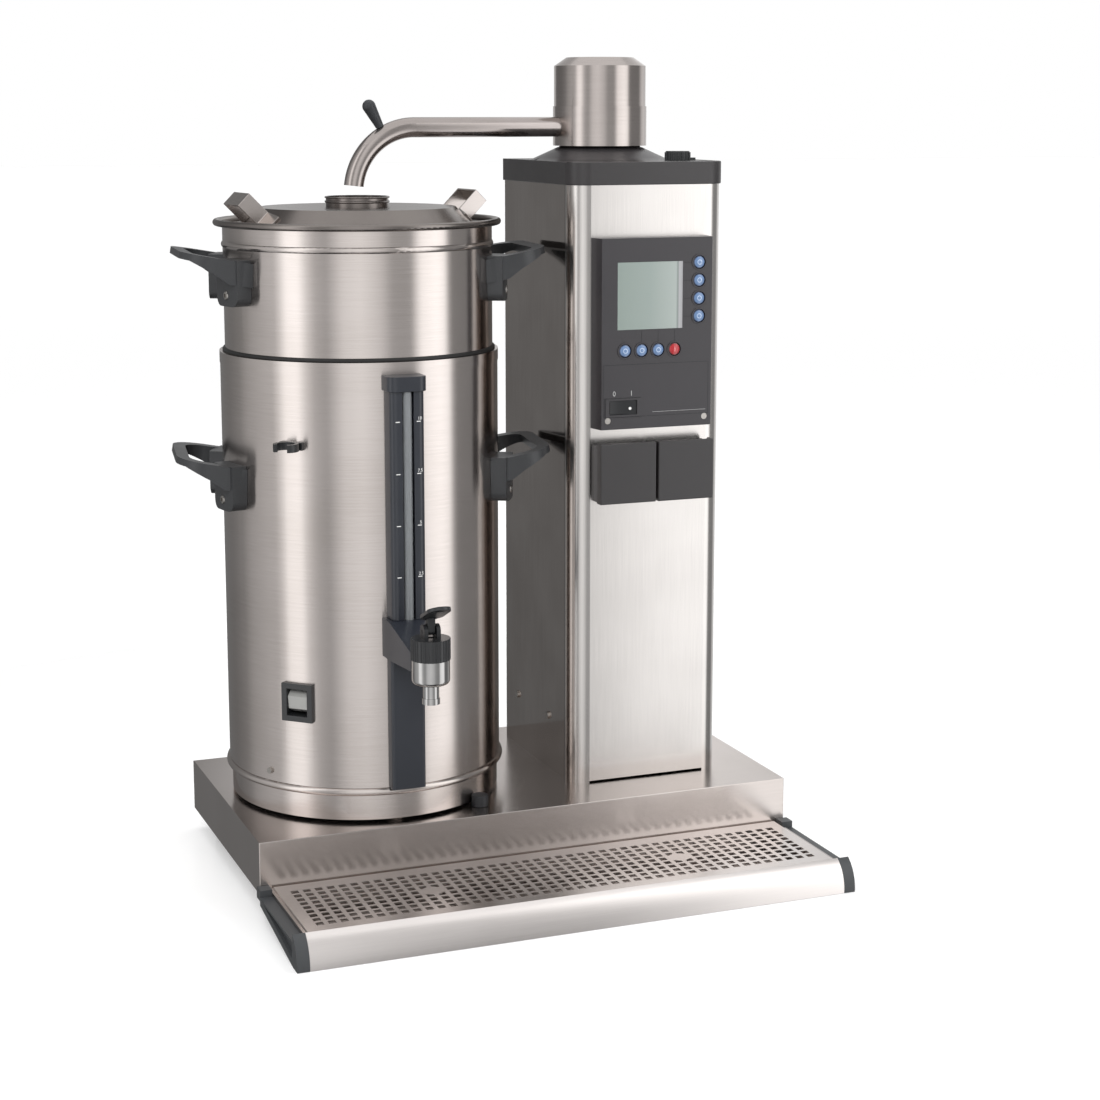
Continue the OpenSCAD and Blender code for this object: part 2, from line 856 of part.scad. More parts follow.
module service_cover() {
    open_w = rocker_w + 2 * run_gap;
    open_h = rocker_h + 2 * run_gap;
    color("#404143") difference() {
        union() {
            at_face(cover_x, cover_z) translate([-cover_w / 2, -panel_d, -cover_h / 2])
                cube([cover_w, cover_t, cover_h]);
            at_face(rocker_x, rocker_z) translate([0, -panel_d, 0]) {
                translate([0, (over - bezel_rise) / 2, 0]) cube([open_w + 2 * rocker_frame_w,
                    bezel_rise + over, open_h + 2 * rocker_frame_h], center = true);
                translate([0, rocker_box_d / 2, 0]) cube([open_w + 2 * rocker_wall,
                    rocker_box_d, open_h + 2 * rocker_wall], center = true);
            }
        }
        at_face(rocker_x, rocker_z) {
            cube([open_w, 4 * panel_d, open_h], center = true);
            translate([0, -rocker_pivot, 0])
                cylinder(r = rocker_pin_r + pin_gap, h = rocker_h + 4 * rocker_wall, center = true);
        }
    }
}

// Outline of a rocker: two flats that meet over the pivot, and a body that narrows behind
module rocker_outline(w) {
    polygon([[-w / 2 + rocker_ease, -rocker_rise], [0, 0], [w / 2 - rocker_ease, -rocker_rise],
        [w / 2 - rocker_depth, rocker_depth], [-w / 2 + rocker_depth, rocker_depth]]);
}

module power_rocker() {
    color("#1c1d1f") at_face(rocker_x, rocker_z) translate([0, -rocker_pivot, 0])
        rotate([0, 0, -rocker_swing / 2]) {
            translate([0, -rocker_proud, 0])
                linear_extrude(rocker_h, center = true) rocker_outline(rocker_w);
            cylinder(r = rocker_pin_r, h = rocker_h + 2 * run_gap + 2 * rocker_pin_l, center = true);
        }
}

// Push button: a rod with a low dome
module button(i) {
    color(i == 7 ? "firebrick" : "steelblue") at_button(i) translate([0, -button_proud, 0]) intersection() {
        rod_y(button_r, button_body + button_proud);
        translate([0, dome_r, 0]) union() {
            sphere(r = dome_r);
            rod_y(dome_r, panel_d);
        }
    }
}

module control_board() {
    board_w = panel_w - 2 * panel_wall - 2 * board_gap;
    color("darkgreen") {
        at_face(0, panel_top - panel_wall - board_gap - board_h)
            translate([-board_w / 2, -board_back - board_t, 0]) cube([board_w, board_t, board_h]);
        at_face(window_x, window_z)
            translate([-window_w / 2 + board_gap, -panel_d + panel_face + fit, -window_h / 2 + board_gap])
                cube([window_w - 2 * board_gap, panel_d - panel_face - board_back - fit,
                    window_h - 2 * board_gap]);
    }
}

// Power sockets under two hinged flaps
module socket_box() {
    box_w = 2 * flap_w + flap_gap - 2 * flap_wall - 2 * run_gap;
    color("#3b3c3e") {
        difference() {
            union() {
                at_face(-box_w / 2, socket_top - flap_h) translate([0, -box_d, run_gap])
                    cube([box_w, box_d, flap_h - 2 * run_gap - hinge_drop]);
                for (sx = [-1, 1]) at_face(sx * flap_pitch / 2, socket_mid)
                    translate([0, -box_d, 0]) rod_y(socket_r + socket_wall, box_d + socket_depth);
                for (sx = [-1, 1], lx = [-1, 1]) at_face(sx * flap_pitch / 2 + lx * flap_w * lug_share,
                    socket_top - hinge_drop) translate([-lug_t / 2, -hinge_y, 0]) {
                        rod_x(lug_r, lug_t);
                        translate([0, 0, -lug_r]) cube([lug_t, hinge_y - box_d / 2, lug_r]);
                    }
            }
            for (sx = [-1, 1]) at_face(sx * flap_pitch / 2, socket_mid) translate([0, -box_d - over, 0])
                rod_y(socket_r, box_d + socket_depth - socket_wall + over);
            at_face(-column_w / 2, socket_top - hinge_drop) translate([0, -hinge_y, 0])
                rod_x(hinge_pin_r + pin_gap, column_w);
        }
        for (sx = [-1, 1], a = [90, 210, 330]) at_face(sx * flap_pitch / 2 + socket_r / 2 * cos(a),
            socket_mid + socket_r / 2 * sin(a)) translate([0, socket_depth - socket_wall - contact_l, 0])
                rod_y(contact_r, contact_l + over);
    }
}

module socket_flap(sx) {
    color("#46474a") at_face(sx * flap_pitch / 2, socket_top) {
        translate([-flap_w / 2, -flap_d, -flap_h]) cube([flap_w, flap_t, flap_h]);
        for (lx = [-1, 1]) translate([lx * (flap_w - flap_wall) / 2 - flap_wall / 2, 0, 0]) {
            translate([0, -flap_d, -flap_h]) cube([flap_wall, flap_d - hinge_y, flap_h]);
            translate([0, -hinge_y, -hinge_drop]) rod_x(lug_r, flap_wall);
        }
        translate([-flap_w / 2, -hinge_y, -hinge_drop]) rod_x(hinge_pin_r, flap_w);
    }
}

// Water heater, its pipes, the inlet valve and the mains gland
module tank_body(wall) {
    r = boiler_r - wall;
    top = boiler_dome - wall;
    cylinder(r = r, h = boiler_h);
    translate([0, 0, boiler_h]) cylinder(r1 = r, r2 = r - top, h = top);
    translate([0, 0, -top]) cylinder(r1 = r - top, r2 = r, h = top);
}

module boiler_tank() {
    color("lightgray") difference() {
        machine(column_cx, boiler_y, deck_z + boiler_z) {
            tank_body(0);
            for (a = [90, 210, 330]) rotate([0, 0, a]) translate([boiler_r * boiler_leg_share, 0, -boiler_z])
                cylinder(r = boiler_leg_r, h = boiler_z - boiler_dome / 2);
        }
        machine(column_cx, boiler_y, deck_z + boiler_z) tank_body(tank_wall);
        at_head() translate([0, 0, boiler_z + boiler_h])
            cylinder(r = riser_r - pipe_wall, h = 2 * boiler_dome);
        machine(inlet_x, boiler_y + feed_from_axis[1], deck_z + boiler_z - 2 * boiler_dome)
            cylinder(r = pipe_r - pipe_wall, h = 2 * boiler_dome);
    }
}

module water_pipes() {
    riser_foot = boiler_z + boiler_h + boiler_dome + fit;
    color("peru") {
        at_head() translate([0, 0, riser_foot]) tube(riser_r, pipe_wall, cap_top_z - riser_foot);
        difference() {
            feed_rod(pipe_r, 0);
            feed_rod(pipe_r - pipe_wall, over);
        }
    }
}

// Feed pipe's path: forward from the inlet valve, then up into the tank
module feed_rod(r, past) {
    feed_r = 2 * pipe_r;
    feed_y = boiler_y + feed_from_axis[1];
    machine(inlet_x, base_d - valve_l + past, port_z) rotate([90, 0, 0])
        cylinder(r = r, h = base_d - valve_l - feed_y - feed_r + past);
    machine(inlet_x, feed_y + feed_r, port_z + feed_r) rotate([90, 0, 90]) rod_bend(feed_r, r, 180, 270);
    machine(inlet_x, feed_y, port_z + feed_r)
        cylinder(r = r, h = deck_z + boiler_z - boiler_dome - fit - port_z - feed_r + past);
}

module inlet_valve() {
    inside = inlet_out + base_sheet;
    color("darkgoldenrod") machine(inlet_x, base_d + inlet_out, port_z) rotate([90, 0, 0]) difference() {
        union() {
            cylinder(r = inlet_thread_r, h = inlet_out - inlet_neck_l);
            cylinder(r = inlet_neck_r, h = inside + over);
            translate([0, 0, inside + fit]) cylinder(r = valve_flange_r, h = valve_flange_t);
            translate([0, 0, inside]) cylinder(r = valve_r, h = valve_l - base_sheet - fit);
            translate([0, 0, inlet_out + valve_l / 2]) rotate([-90, 0, 0])
                cylinder(r = valve_r, h = base_h / 2 - base_sheet - valve_flange_t);
        }
        translate([0, 0, -over]) cylinder(r = thread_bore_r, h = inlet_out);
        translate([0, 0, inlet_out + over]) cylinder(r = pipe_r - pipe_wall, h = valve_l);
    }
}

module mains_gland() {
    color("#222222") machine(gland_x, base_d + gland_out, port_z) rotate([90, 0, 0]) difference() {
        union() {
            cylinder(r = gland_thread_r, h = gland_out + base_sheet + gland_nut_t + over);
            for (z = [gland_out - gland_nut_t - fit, gland_out + base_sheet + fit])
                translate([0, 0, z]) cylinder(r = gland_hex_r, h = gland_nut_t, $fn = 6);
        }
        translate([0, 0, -over])
            cylinder(r = gland_bore_r, h = 2 * (gland_out + base_sheet + gland_nut_t));
    }
}

// Swivel head, spindle and arm
module head_body() {
    color("silver") at_head() difference() {
        translate([0, 0, head_z]) cylinder(r = head_r, h = head_body_h);
        translate([0, 0, head_z + head_wall]) cylinder(r = head_r - head_wall, h = head_body_h);
        translate([0, 0, head_z - over]) cylinder(r = spindle_r + fit, h = head_body_h);
        translate([0, 0, arm_z]) rod_x(arm_r + fit, 2 * head_r);
    }
}

module head_cap() {
    r = head_r - head_cap_step;
    edge_z = head_cap_h - dome_edge_h;
    color("silver") at_head() translate([0, 0, head_z + head_body_h]) {
        tube(r, head_wall, edge_z);
        translate([0, 0, -2 * head_wall]) tube(r - head_wall + fit, head_wall, 4 * head_wall);
        translate([0, 0, edge_z]) difference() {
            cylinder(r1 = r, r2 = r - dome_edge_r, h = dome_edge_h);
            translate([0, 0, -head_wall]) cylinder(r1 = r, r2 = r - dome_edge_r, h = dome_edge_h);
        }
    }
}

module swivel_spindle() {
    foot = cap_top_z - bearing_drop - spindle_past;
    color("darkgray") at_head() difference() {
        union() {
            translate([0, 0, foot]) cylinder(r = spindle_r, h = arm_z - foot);
            translate([0, 0, arm_z - hub_h / 2]) cylinder(r = hub_r, h = hub_h);
            translate([0, 0, head_z + head_wall]) cylinder(r = hub_r, h = hub_h / 2);
        }
        translate([0, 0, foot - over])
            cylinder(r = spindle_r - spindle_wall, h = arm_z + hub_h / 2 - foot - spindle_wall);
        translate([0, 0, arm_z]) rod_x(arm_r + fit, 2 * hub_r);
    }
}

module arm_rod(r, past) {
    translate([arm_in - past, 0, arm_z]) rod_x(r, bend_x - arm_in + past + over);
    translate([bend_x, 0, arm_z - bend_r]) rotate([90, 0, 0])
        rod_bend(bend_r, r - bend_thin, 90 - bend_angle - past, 90);
}

module arm_pipe() {
    color("silver") at_head() difference() {
        arm_rod(arm_r, 0);
        arm_rod(arm_r - arm_wall, over);
    }
}

module arm_grip() {
    color("#2a2c2e") at_head() translate([bend_x, 0, arm_z - bend_r]) rotate([0, grip_at, 0])
        translate([0, 0, bend_r]) {
            difference() {
                cylinder(r = grip_foot_r, h = arm_r + 2 * over);
                translate([-arm_r, 0, 0]) rod_x(arm_r + fit, 2 * arm_r);
            }
            translate([0, 0, arm_r + over])
                cylinder(r1 = grip_foot_r, r2 = grip_top_r, h = grip_knob_h - grip_top_r);
            translate([0, 0, arm_r + over + grip_knob_h - grip_top_r]) sphere(r = grip_top_r);
        }
}

// Side handle on a wall of radius r, its top edge at zero, pointing along +X. The arms of its
// loop deepen into webs toward the wall.
module handle_loop(reach) {
    difference() {
        translate([reach / 2 - loop_root, 0])
            round_rect(reach + 2 * loop_root, handle_w, handle_corner);
        translate([(reach - bar_w) / 2 - loop_root, 0]) round_rect(reach - bar_w + 2 * loop_root,
            handle_w - 2 * hole_margin, handle_w * hole_corner_share);
    }
}

module side_handle(r) {
    reach = (handle_reach - handle_t * sin(handle_tilt)) / cos(handle_tilt);
    difference() {
        union() {
            translate([r, 0, 0]) rotate([0, -handle_tilt, 0]) intersection() {
                translate([0, 0, -handle_h]) linear_extrude(handle_h + over) handle_loop(reach);
                rotate([90, 0, 0]) linear_extrude(handle_w + 2 * over, center = true)
                    polygon([[-loop_root, 0], [reach + over, 0], [reach + over, -handle_t],
                        [reach - web_from, -handle_t], [ear_d, -web_drop], [0, -web_root],
                        [-loop_root, -web_root]]);
            }
            intersection() {
                translate([0, 0, -handle_h]) cylinder(r = r + ear_d, h = handle_h);
                for (s = [-1, 1]) rotate([0, 0, s * ear_mid]) translate([0, 0, -handle_h / 2])
                    rotate([90, 0, 90]) linear_extrude(2 * r) {
                        round_rect(ear_w, handle_h, ear_corner);
                        translate([-ear_w / 2, 0]) square([ear_w, handle_h / 2]);
                    }
            }
        }
        translate([0, 0, -2 * handle_h]) cylinder(r = r + fit, h = 4 * handle_h);
        for (s = [-1, 1]) rotate([0, 0, s * ear_mid]) translate([0, 0, -ear_screw_drop]) {
            rod_x(ear_screw_r + fit, 2 * r);
            translate([r + ear_d - ear_head_h, 0, 0]) rod_x(ear_head_r + fit, ear_d);
        }
    }
}

// Urn: shell, foot ring, vessel and heater
module ear_holes(r, turn, z) {
    for (side = [0, 180], s = [-1, 1]) rotate([0, 0, side + turn + s * ear_mid])
        translate([r - inner_depth, 0, z - ear_screw_drop]) rod_x(ear_screw_r + fit, 2 * inner_depth);
}

module urn_outer_shell() {
    color("silver") difference() {
        at_urn() {
            translate([0, 0, shell_foot]) tube(urn_r, urn_sheet, urn_h - shell_foot);
            translate([0, 0, urn_h - rim_band_h]) tube(urn_r + rim_band_t, urn_sheet, rim_band_h);
            translate([0, 0, urn_h - urn_sheet])
                tube(urn_r, urn_r - vessel_r - urn_sheet, urn_sheet);
        }
        at_urn() ear_holes(urn_r, urn_handle_turn, urn_handle_z);
        at_urn(front_angle) translate([vessel_r, 0, shank_z]) rod_x(shank_r + fit, urn_r);
        at_urn(skirt_screw_angle) translate([vessel_r, 0, skirt_screw_z]) rod_x(screw_r + fit, urn_r);
        at_urn(switch_angle) translate([vessel_r, 0, switch_z])
            slab(urn_r, switch_w - 4 * urn_sheet, switch_h - 4 * urn_sheet);
        at_urn(power_angle) translate([vessel_r, 0, power_z])
            slab(urn_r, power_w - 4 * urn_sheet, power_h - 4 * urn_sheet);
    }
}

module urn_skirt() {
    r = urn_r - skirt_step;
    spigot_r = urn_r - urn_sheet - fit;
    color("silver") difference() {
        at_urn() {
            translate([0, 0, skirt_foot]) tube(r, urn_sheet, skirt_h - skirt_foot);
            translate([0, 0, skirt_foot]) cylinder(r = r, h = urn_sheet);
            translate([0, 0, skirt_h - bead_r]) tube(spigot_r, skirt_step, 2 * bead_r + rim_band_h);
            translate([0, 0, skirt_h]) bead_ring(urn_r - bead_inset, bead_r);
            for (a = [30, 150, 270]) rotate([0, 0, a]) translate([urn_r * skirt_foot_share, 0, 0])
                cylinder(r = skirt_foot_r, h = skirt_foot + fit);
        }
        at_urn(skirt_screw_angle) translate([vessel_r, 0, skirt_screw_z]) rod_x(screw_r + fit, urn_r);
    }
}

module urn_inner_vessel() {
    wall_r = vessel_r + urn_sheet;
    sump_foot = shank_z - shank_r - 2 * urn_sheet;
    color("lightgray") difference() {
        at_urn(front_angle) {
            translate([0, 0, vessel_floor]) cylinder(r = wall_r, h = urn_h - lip_drop - vessel_floor);
            translate([0, 0, urn_h - lip_drop - urn_sheet]) cylinder(r = wall_r + vessel_lip, h = urn_sheet);
            translate([sump_at, 0, sump_foot])
                cylinder(r = sump_r, h = vessel_floor - sump_foot + urn_sheet);
        }
        at_urn(front_angle) {
            translate([0, 0, vessel_floor + urn_sheet]) cylinder(r = vessel_r, h = urn_h);
            translate([sump_at, 0, sump_foot + urn_sheet])
                cylinder(r = sump_r - urn_sheet, h = vessel_floor - sump_foot + urn_sheet);
            translate([sump_at, 0, shank_z]) rod_x(shank_r + fit, urn_r);
        }
    }
}

module urn_heater() {
    color("#8c6a4a") at_urn() translate([0, 0, vessel_floor - heater_t - fit])
        tube(heater_r, heater_r - heater_in_r, heater_t);
}

module urn_handles() {
    color("#2f3032") for (side = [0, 180]) at_urn(side + urn_handle_turn)
        translate([0, 0, urn_handle_z]) side_handle(urn_r);
}

module urn_screws() {
    color("silver") {
        for (side = [0, 180], s = [-1, 1]) at_urn(side + urn_handle_turn + s * ear_mid)
            translate([urn_r - 2 * urn_sheet, 0, urn_handle_z - ear_screw_drop]) {
                rod_x(ear_screw_r, ear_d);
                translate([2 * urn_sheet + ear_d - ear_head_h, 0, 0]) rod_x(ear_head_r, ear_head_h - fit);
            }
        at_urn(skirt_screw_angle) translate([urn_r + fit, 0, skirt_screw_z]) rotate([0, 0, -90])
            rotate([0, 0, 180]) screw_y(screw_head_r - over);
    }
}

// Sight gauge in its channel, over the tap's mount
gauge_foot = tap_z + mount_h / 2 + fit;

module channel_outline(w, d, r) {
    translate([urn_r - channel_d, -w / 2]) square([channel_d + d - r, w]);
    translate([urn_r, -w / 2 + r]) square([d, w - 2 * r]);
    for (s = [-1, 1]) translate([urn_r + d - r, s * (w / 2 - r)]) circle(r = r);
}

module gauge_channel() {
    strip_foot = shell_foot + fit;
    color("#2d2f33") at_urn(front_angle) difference() {
        union() {
            translate([0, 0, gauge_foot]) linear_extrude(channel_top - gauge_foot + over)
                channel_outline(channel_w, channel_d, channel_round);
            translate([0, 0, channel_top]) linear_extrude(channel_cap_h)
                channel_outline(channel_w + 2 * channel_cap_grow, channel_d + channel_cap_grow,
                    channel_round + channel_cap_grow);
            translate([0, 0, strip_foot]) linear_extrude(tap_z - mount_h / 2 - strip_foot - fit)
                channel_outline(strip_w, strip_d, strip_round);
        }
        cylinder(r = urn_r + fit, h = urn_h);
        translate([0, 0, urn_h - rim_band_h - fit]) cylinder(r = urn_r + rim_band_t + fit, h = urn_h);
        translate([urn_r + channel_d - slot_d, -slot_w / 2, gauge_foot - over])
            cube([2 * slot_d, slot_w, channel_top - gauge_foot + over]);
    }
}

module gauge_tube() {
    color("lightcyan") at_urn(front_angle)
        translate([urn_r + channel_d - slot_d + gauge_r + run_gap, 0, gauge_foot])
            tube(gauge_r, gauge_wall, channel_top - gauge_foot - fit);
}

// Tap: mount on the shell, metal body, bonnet, stem and lever
module tap_mount() {
    low = tap_z - mount_h / 2;
    high = tap_z + mount_h / 2;
    root = urn_r - channel_d;
    shoulder = urn_r + channel_d + mount_step;
    color("#2b2c2e") at_urn(front_angle) difference() {
        intersection() {
            translate([0, 0, low]) linear_extrude(mount_h) polygon([[root, -mount_w / 2],
                [root, mount_w / 2], [shoulder, mount_w / 2], [mount_end, mount_end_w / 2],
                [mount_end, -mount_end_w / 2], [shoulder, -mount_w / 2]]);
            rotate([90, 0, 0]) linear_extrude(mount_w, center = true) polygon([[root, low],
                [mount_end, low + mount_step], [mount_end, body_top + mount_end_top],
                [shoulder, high], [root, high]]);
        }
        cylinder(r = urn_r + fit, h = urn_h);
        translate([tap_reach, 0, body_top]) cylinder(r = bonnet_r + fit, h = mount_h);
        translate([tap_reach, 0, low - over]) cylinder(r = tap_r + fit, h = mount_h);
        translate([vessel_r, 0, shank_z]) rod_x(shank_r + fit, tap_reach);
        translate([urn_r + channel_d - slot_d + gauge_r + run_gap, 0, shank_z])
            cylinder(r = gauge_r - gauge_wall, h = mount_h);
    }
}

module tap_body() {
    foot = body_top - tap_h;
    color("lightgray") at_urn(front_angle) difference() {
        union() {
            translate([tap_reach, 0, foot]) rotate_extrude() {
                translate([0, body_round]) square([tap_r, tap_h - body_round]);
                square([tap_r - body_round, tap_h]);
                translate([tap_r - body_round, body_round]) circle(r = body_round, $fn = 48);
            }
            translate([tap_reach, 0, foot - nozzle_h]) cylinder(r = nozzle_r, h = nozzle_h + over);
            translate([tap_reach, 0, foot - nozzle_h]) cylinder(r = nozzle_r + lip_out, h = lip_h);
            translate([tap_reach, 0, foot + body_round])
                cylinder(r = neck_r, h = tap_h - body_round + neck_h);
            translate([sump_at + sump_r - 2 * urn_sheet, 0, shank_z])
                rod_x(shank_r, tap_reach - sump_at - sump_r - neck_r / 2);
        }
        translate([tap_reach, 0, foot - nozzle_h - over])
            cylinder(r = nozzle_r - nozzle_wall, h = nozzle_h + body_round + over);
        translate([tap_reach, 0, foot + nozzle_wall]) cylinder(r = neck_r - nozzle_wall, h = 2 * tap_h);
        translate([sump_at, 0, shank_z]) rod_x(shank_r - shank_wall, tap_reach - sump_at);
        translate([urn_r + channel_d - slot_d + gauge_r + run_gap, 0, shank_z])
            cylinder(r = gauge_r - gauge_wall, h = mount_h);
    }
}

module tap_bonnet() {
    top = body_top + bonnet_h;
    color("#242527") at_urn(front_angle) translate([tap_reach, 0, 0]) difference() {
        union() {
            translate([0, 0, body_top]) cylinder(r = bonnet_r - bonnet_rib_r, h = bonnet_h);
            for (i = [1 : bonnet_ribs]) rotate([0, 0, i * 360 / bonnet_ribs])
                translate([bonnet_r - bonnet_rib_r, 0, body_top])
                    cylinder(r = bonnet_rib_r, h = bonnet_h, $fn = 16);
            for (s = [-1, 1]) translate([0, s * (fork_gap + fork_t) / 2, lever_z]) rotate([90, 0, 0]) {
                cylinder(r = fork_r, h = fork_t, center = true);
                translate([-fork_r, top - lever_z - over, -fork_t / 2])
                    cube([2 * fork_r, lever_z - top + over, fork_t]);
            }
        }
        translate([0, 0, body_top - over]) cylinder(r = neck_r + fit, h = neck_h + over + fit);
        translate([0, 0, body_top]) cylinder(r = stem_r + pin_gap, h = 2 * bonnet_h);
        translate([0, 0, lever_z]) rotate([90, 0, 0])
            cylinder(r = lever_pin_r + pin_gap, h = 2 * bonnet_r, center = true);
    }
}

module tap_stem() {
    seat = body_top - tap_h + nozzle_wall;
    color("dimgray") at_urn(front_angle) translate([tap_reach, 0, seat]) {
        cylinder(r = neck_r - nozzle_wall - run_gap, h = seal_t);
        cylinder(r = stem_r, h = stem_top - seat);
    }
}

module tap_lever() {
    lever_w = fork_gap - 2 * run_gap;
    color("#1f2022") at_urn(front_angle) translate([tap_reach, 0, lever_z]) {
        rotate([90, 0, 0]) cylinder(r = lever_pin_r, h = fork_gap + 2 * fork_t, center = true);
        rotate([90, 0, 0]) cylinder(r = 2 * lever_pin_r, h = lever_w, center = true);
        translate([-lever_t / 2, -lever_w / 2, 0]) cube([lever_t, lever_w, lever_up]);
        translate([-lever_t / 2, 0, lever_up - paddle_t]) rotate([0, -paddle_tilt, 0])
            linear_extrude(paddle_t) {
                translate([0, -paddle_w / 3]) square([paddle_w / 2, paddle_w / 1.5]);
                translate([paddle_w / 2, -paddle_w / 2]) square([paddle_l - paddle_w, paddle_w]);
                translate([paddle_w / 2, 0]) circle(d = paddle_w);
                translate([paddle_l - paddle_w / 2, 0]) circle(d = paddle_w);
            }
    }
}

// Urn's switch, clip and power inlet, each a frame outside and a box through the wall
module wall_frame(angle, z, w, h, open_w, open_h) {
    color("#18191b") at_urn(angle) translate([urn_r, 0, z]) difference() {
        union() {
            translate([-frame_proud, 0, 0]) slab(2 * frame_proud, w, h);
            translate([-inner_depth, 0, 0]) slab(inner_depth + over, w - 6 * urn_sheet, h - 6 * urn_sheet);
        }
        difference() {
            translate([-urn_r, 0, -h]) cylinder(r = urn_r + fit, h = 2 * h);
            translate([-inner_depth, 0, 0]) slab(inner_depth + over, w - 6 * urn_sheet, h - 6 * urn_sheet);
        }
        translate([-inner_depth + 2 * urn_sheet, 0, 0]) slab(2 * inner_depth, open_w, open_h);
        children();
    }
}

module urn_switch_frame() {
    w = switch_w - 2 * rocker_side;
    wall_frame(switch_angle, switch_z, switch_w, switch_h, w, switch_h - 2 * rocker_side)
        translate([switch_axis - rocker_proud, 0, 0]) rotate([90, 0, 0])
            cylinder(r = rocker_pin_r + pin_gap, h = w + 4 * rocker_pin_l, center = true);
}

module urn_switch_rocker() {
    w = switch_w - 2 * rocker_side - 2 * run_gap;
    h = switch_h - 2 * rocker_side - 2 * run_gap;
    color("whitesmoke") at_urn(switch_angle) translate([urn_r + switch_axis - rocker_proud, 0, switch_z])
        rotate([0, switch_swing / 2, 0]) {
            rotate([90, 90, 0]) linear_extrude(w, center = true)
                translate([0, -rocker_proud]) rocker_outline(h);
            rotate([90, 0, 0])
                cylinder(r = rocker_pin_r, h = w + 2 * run_gap + 2 * rocker_pin_l, center = true);
        }
}

module urn_clip() {
    color("#1d1f21") at_urn(clip_angle) difference() {
        union() {
            translate([urn_r - clip_wall, -clip_pad_w / 2, clip_z])
                cube([2 * clip_wall, clip_pad_w, clip_h]);
            translate([urn_r + clip_r, 0, clip_z]) tube(clip_r, clip_wall, clip_h);
        }
        cylinder(r = urn_r + fit, h = urn_h);
        translate([urn_r + clip_r, 0, clip_z - over]) rotate([0, 0, -clip_mouth / 2])
            rotate_extrude(angle = clip_mouth) square([2 * clip_r, clip_h + 2 * over]);
    }
}

module urn_inlet() {
    wall_frame(power_angle, power_z, power_w, power_h, power_w - 4 * frame_proud, power_h - 3 * frame_proud);
    color("#18191b") at_urn(power_angle) for (s = [-1, 0, 1])
        translate([urn_r - inner_depth + urn_sheet, s * power_w / 5, power_z])
            rod_x(power_pin_r, power_pin_l);
}

// Filter basket
module basket_drum() {
    color("silver") difference() {
        at_urn() {
            translate([0, 0, basket_z]) tube(basket_r, urn_sheet, basket_h);
            translate([0, 0, basket_z]) cylinder(r = basket_r, h = urn_sheet);
            translate([0, 0, lid_z - drum_bead_drop]) bead_ring(basket_r - drum_bead_in, drum_bead_r);
            translate([0, 0, basket_z - spigot_l]) tube(vessel_r - run_gap, urn_sheet, spigot_l + over);
            translate([0, 0, urn_h]) tube(stand_r, stand_w, basket_seat + over);
            translate([0, 0, basket_z - outlet_l]) cylinder(r = outlet_r, h = outlet_l + over);
        }
        at_urn() translate([0, 0, basket_z - outlet_l - over])
            cylinder(r = outlet_r - urn_sheet, h = outlet_l + 4 * over);
        at_urn() ear_holes(basket_r, basket_handle_turn, lid_z - basket_handle_drop);
    }
}

module basket_handles() {
    color("#2f3032") for (side = [0, 180]) at_urn(side + basket_handle_turn)
        translate([0, 0, lid_z - basket_handle_drop]) side_handle(basket_r);
}

module filter_insert() {
    color("lightgray") at_urn() translate([0, 0, basket_z + urn_sheet]) difference() {
        union() {
            translate([0, 0, insert_leg]) cylinder(r1 = insert_foot_r, r2 = insert_r, h = insert_h);
            translate([0, 0, insert_leg + insert_h - insert_wall])
                cylinder(r = insert_r + insert_lip, h = insert_wall);
            for (a = [0 : 120 : 240]) rotate([0, 0, a]) translate([insert_foot_r - 2 * insert_leg_r, 0, 0])
                cylinder(r = insert_leg_r, h = insert_leg + insert_wall);
        }
        translate([0, 0, insert_leg + insert_wall])
            cylinder(r1 = insert_foot_r - insert_wall, r2 = insert_r - insert_wall, h = insert_h);
        for (share = drain_rings, i = [1 : drains]) rotate([0, 0, i * 360 / drains])
            translate([insert_foot_r * share, 0, insert_leg - over])
                cylinder(r = drain_r, h = insert_wall + 2 * over);
    }
}

// Lid: rolled rim, gutter, sloping flank, flat top and collar
module lid_dish() {
    foot_r_in = lid_top_r + lid_rise;
    slope_t = urn_sheet * sqrt(2);
    color("silver") at_urn() translate([0, 0, lid_z]) {
        tube(lid_r - rim_r, lid_r - rim_r - foot_r_in + urn_sheet, urn_sheet);
        translate([0, 0, rim_r]) bead_ring(lid_r - rim_r, rim_r);
        translate([0, 0, -lid_spigot_h])
            tube(basket_r - urn_sheet - run_gap, urn_sheet, lid_spigot_h + urn_sheet);
        rotate_extrude() polygon([[foot_r_in - slope_t, 0], [foot_r_in, 0],
            [lid_top_r, lid_rise], [lid_top_r - slope_t, lid_rise]]);
        translate([0, 0, lid_rise - urn_sheet]) tube(lid_top_r, lid_top_r - collar_r, urn_sheet);
        translate([0, 0, lid_rise - urn_sheet]) tube(collar_r + urn_sheet, urn_sheet, collar_h + urn_sheet);
        translate([0, 0, lid_rise + collar_h / 2]) bead_ring(collar_r + urn_sheet, collar_bead_r);
        translate([0, 0, lid_rise + collar_h - lip_r]) bead_ring(collar_r + urn_sheet + lip_r / 2, lip_r);
    }
}

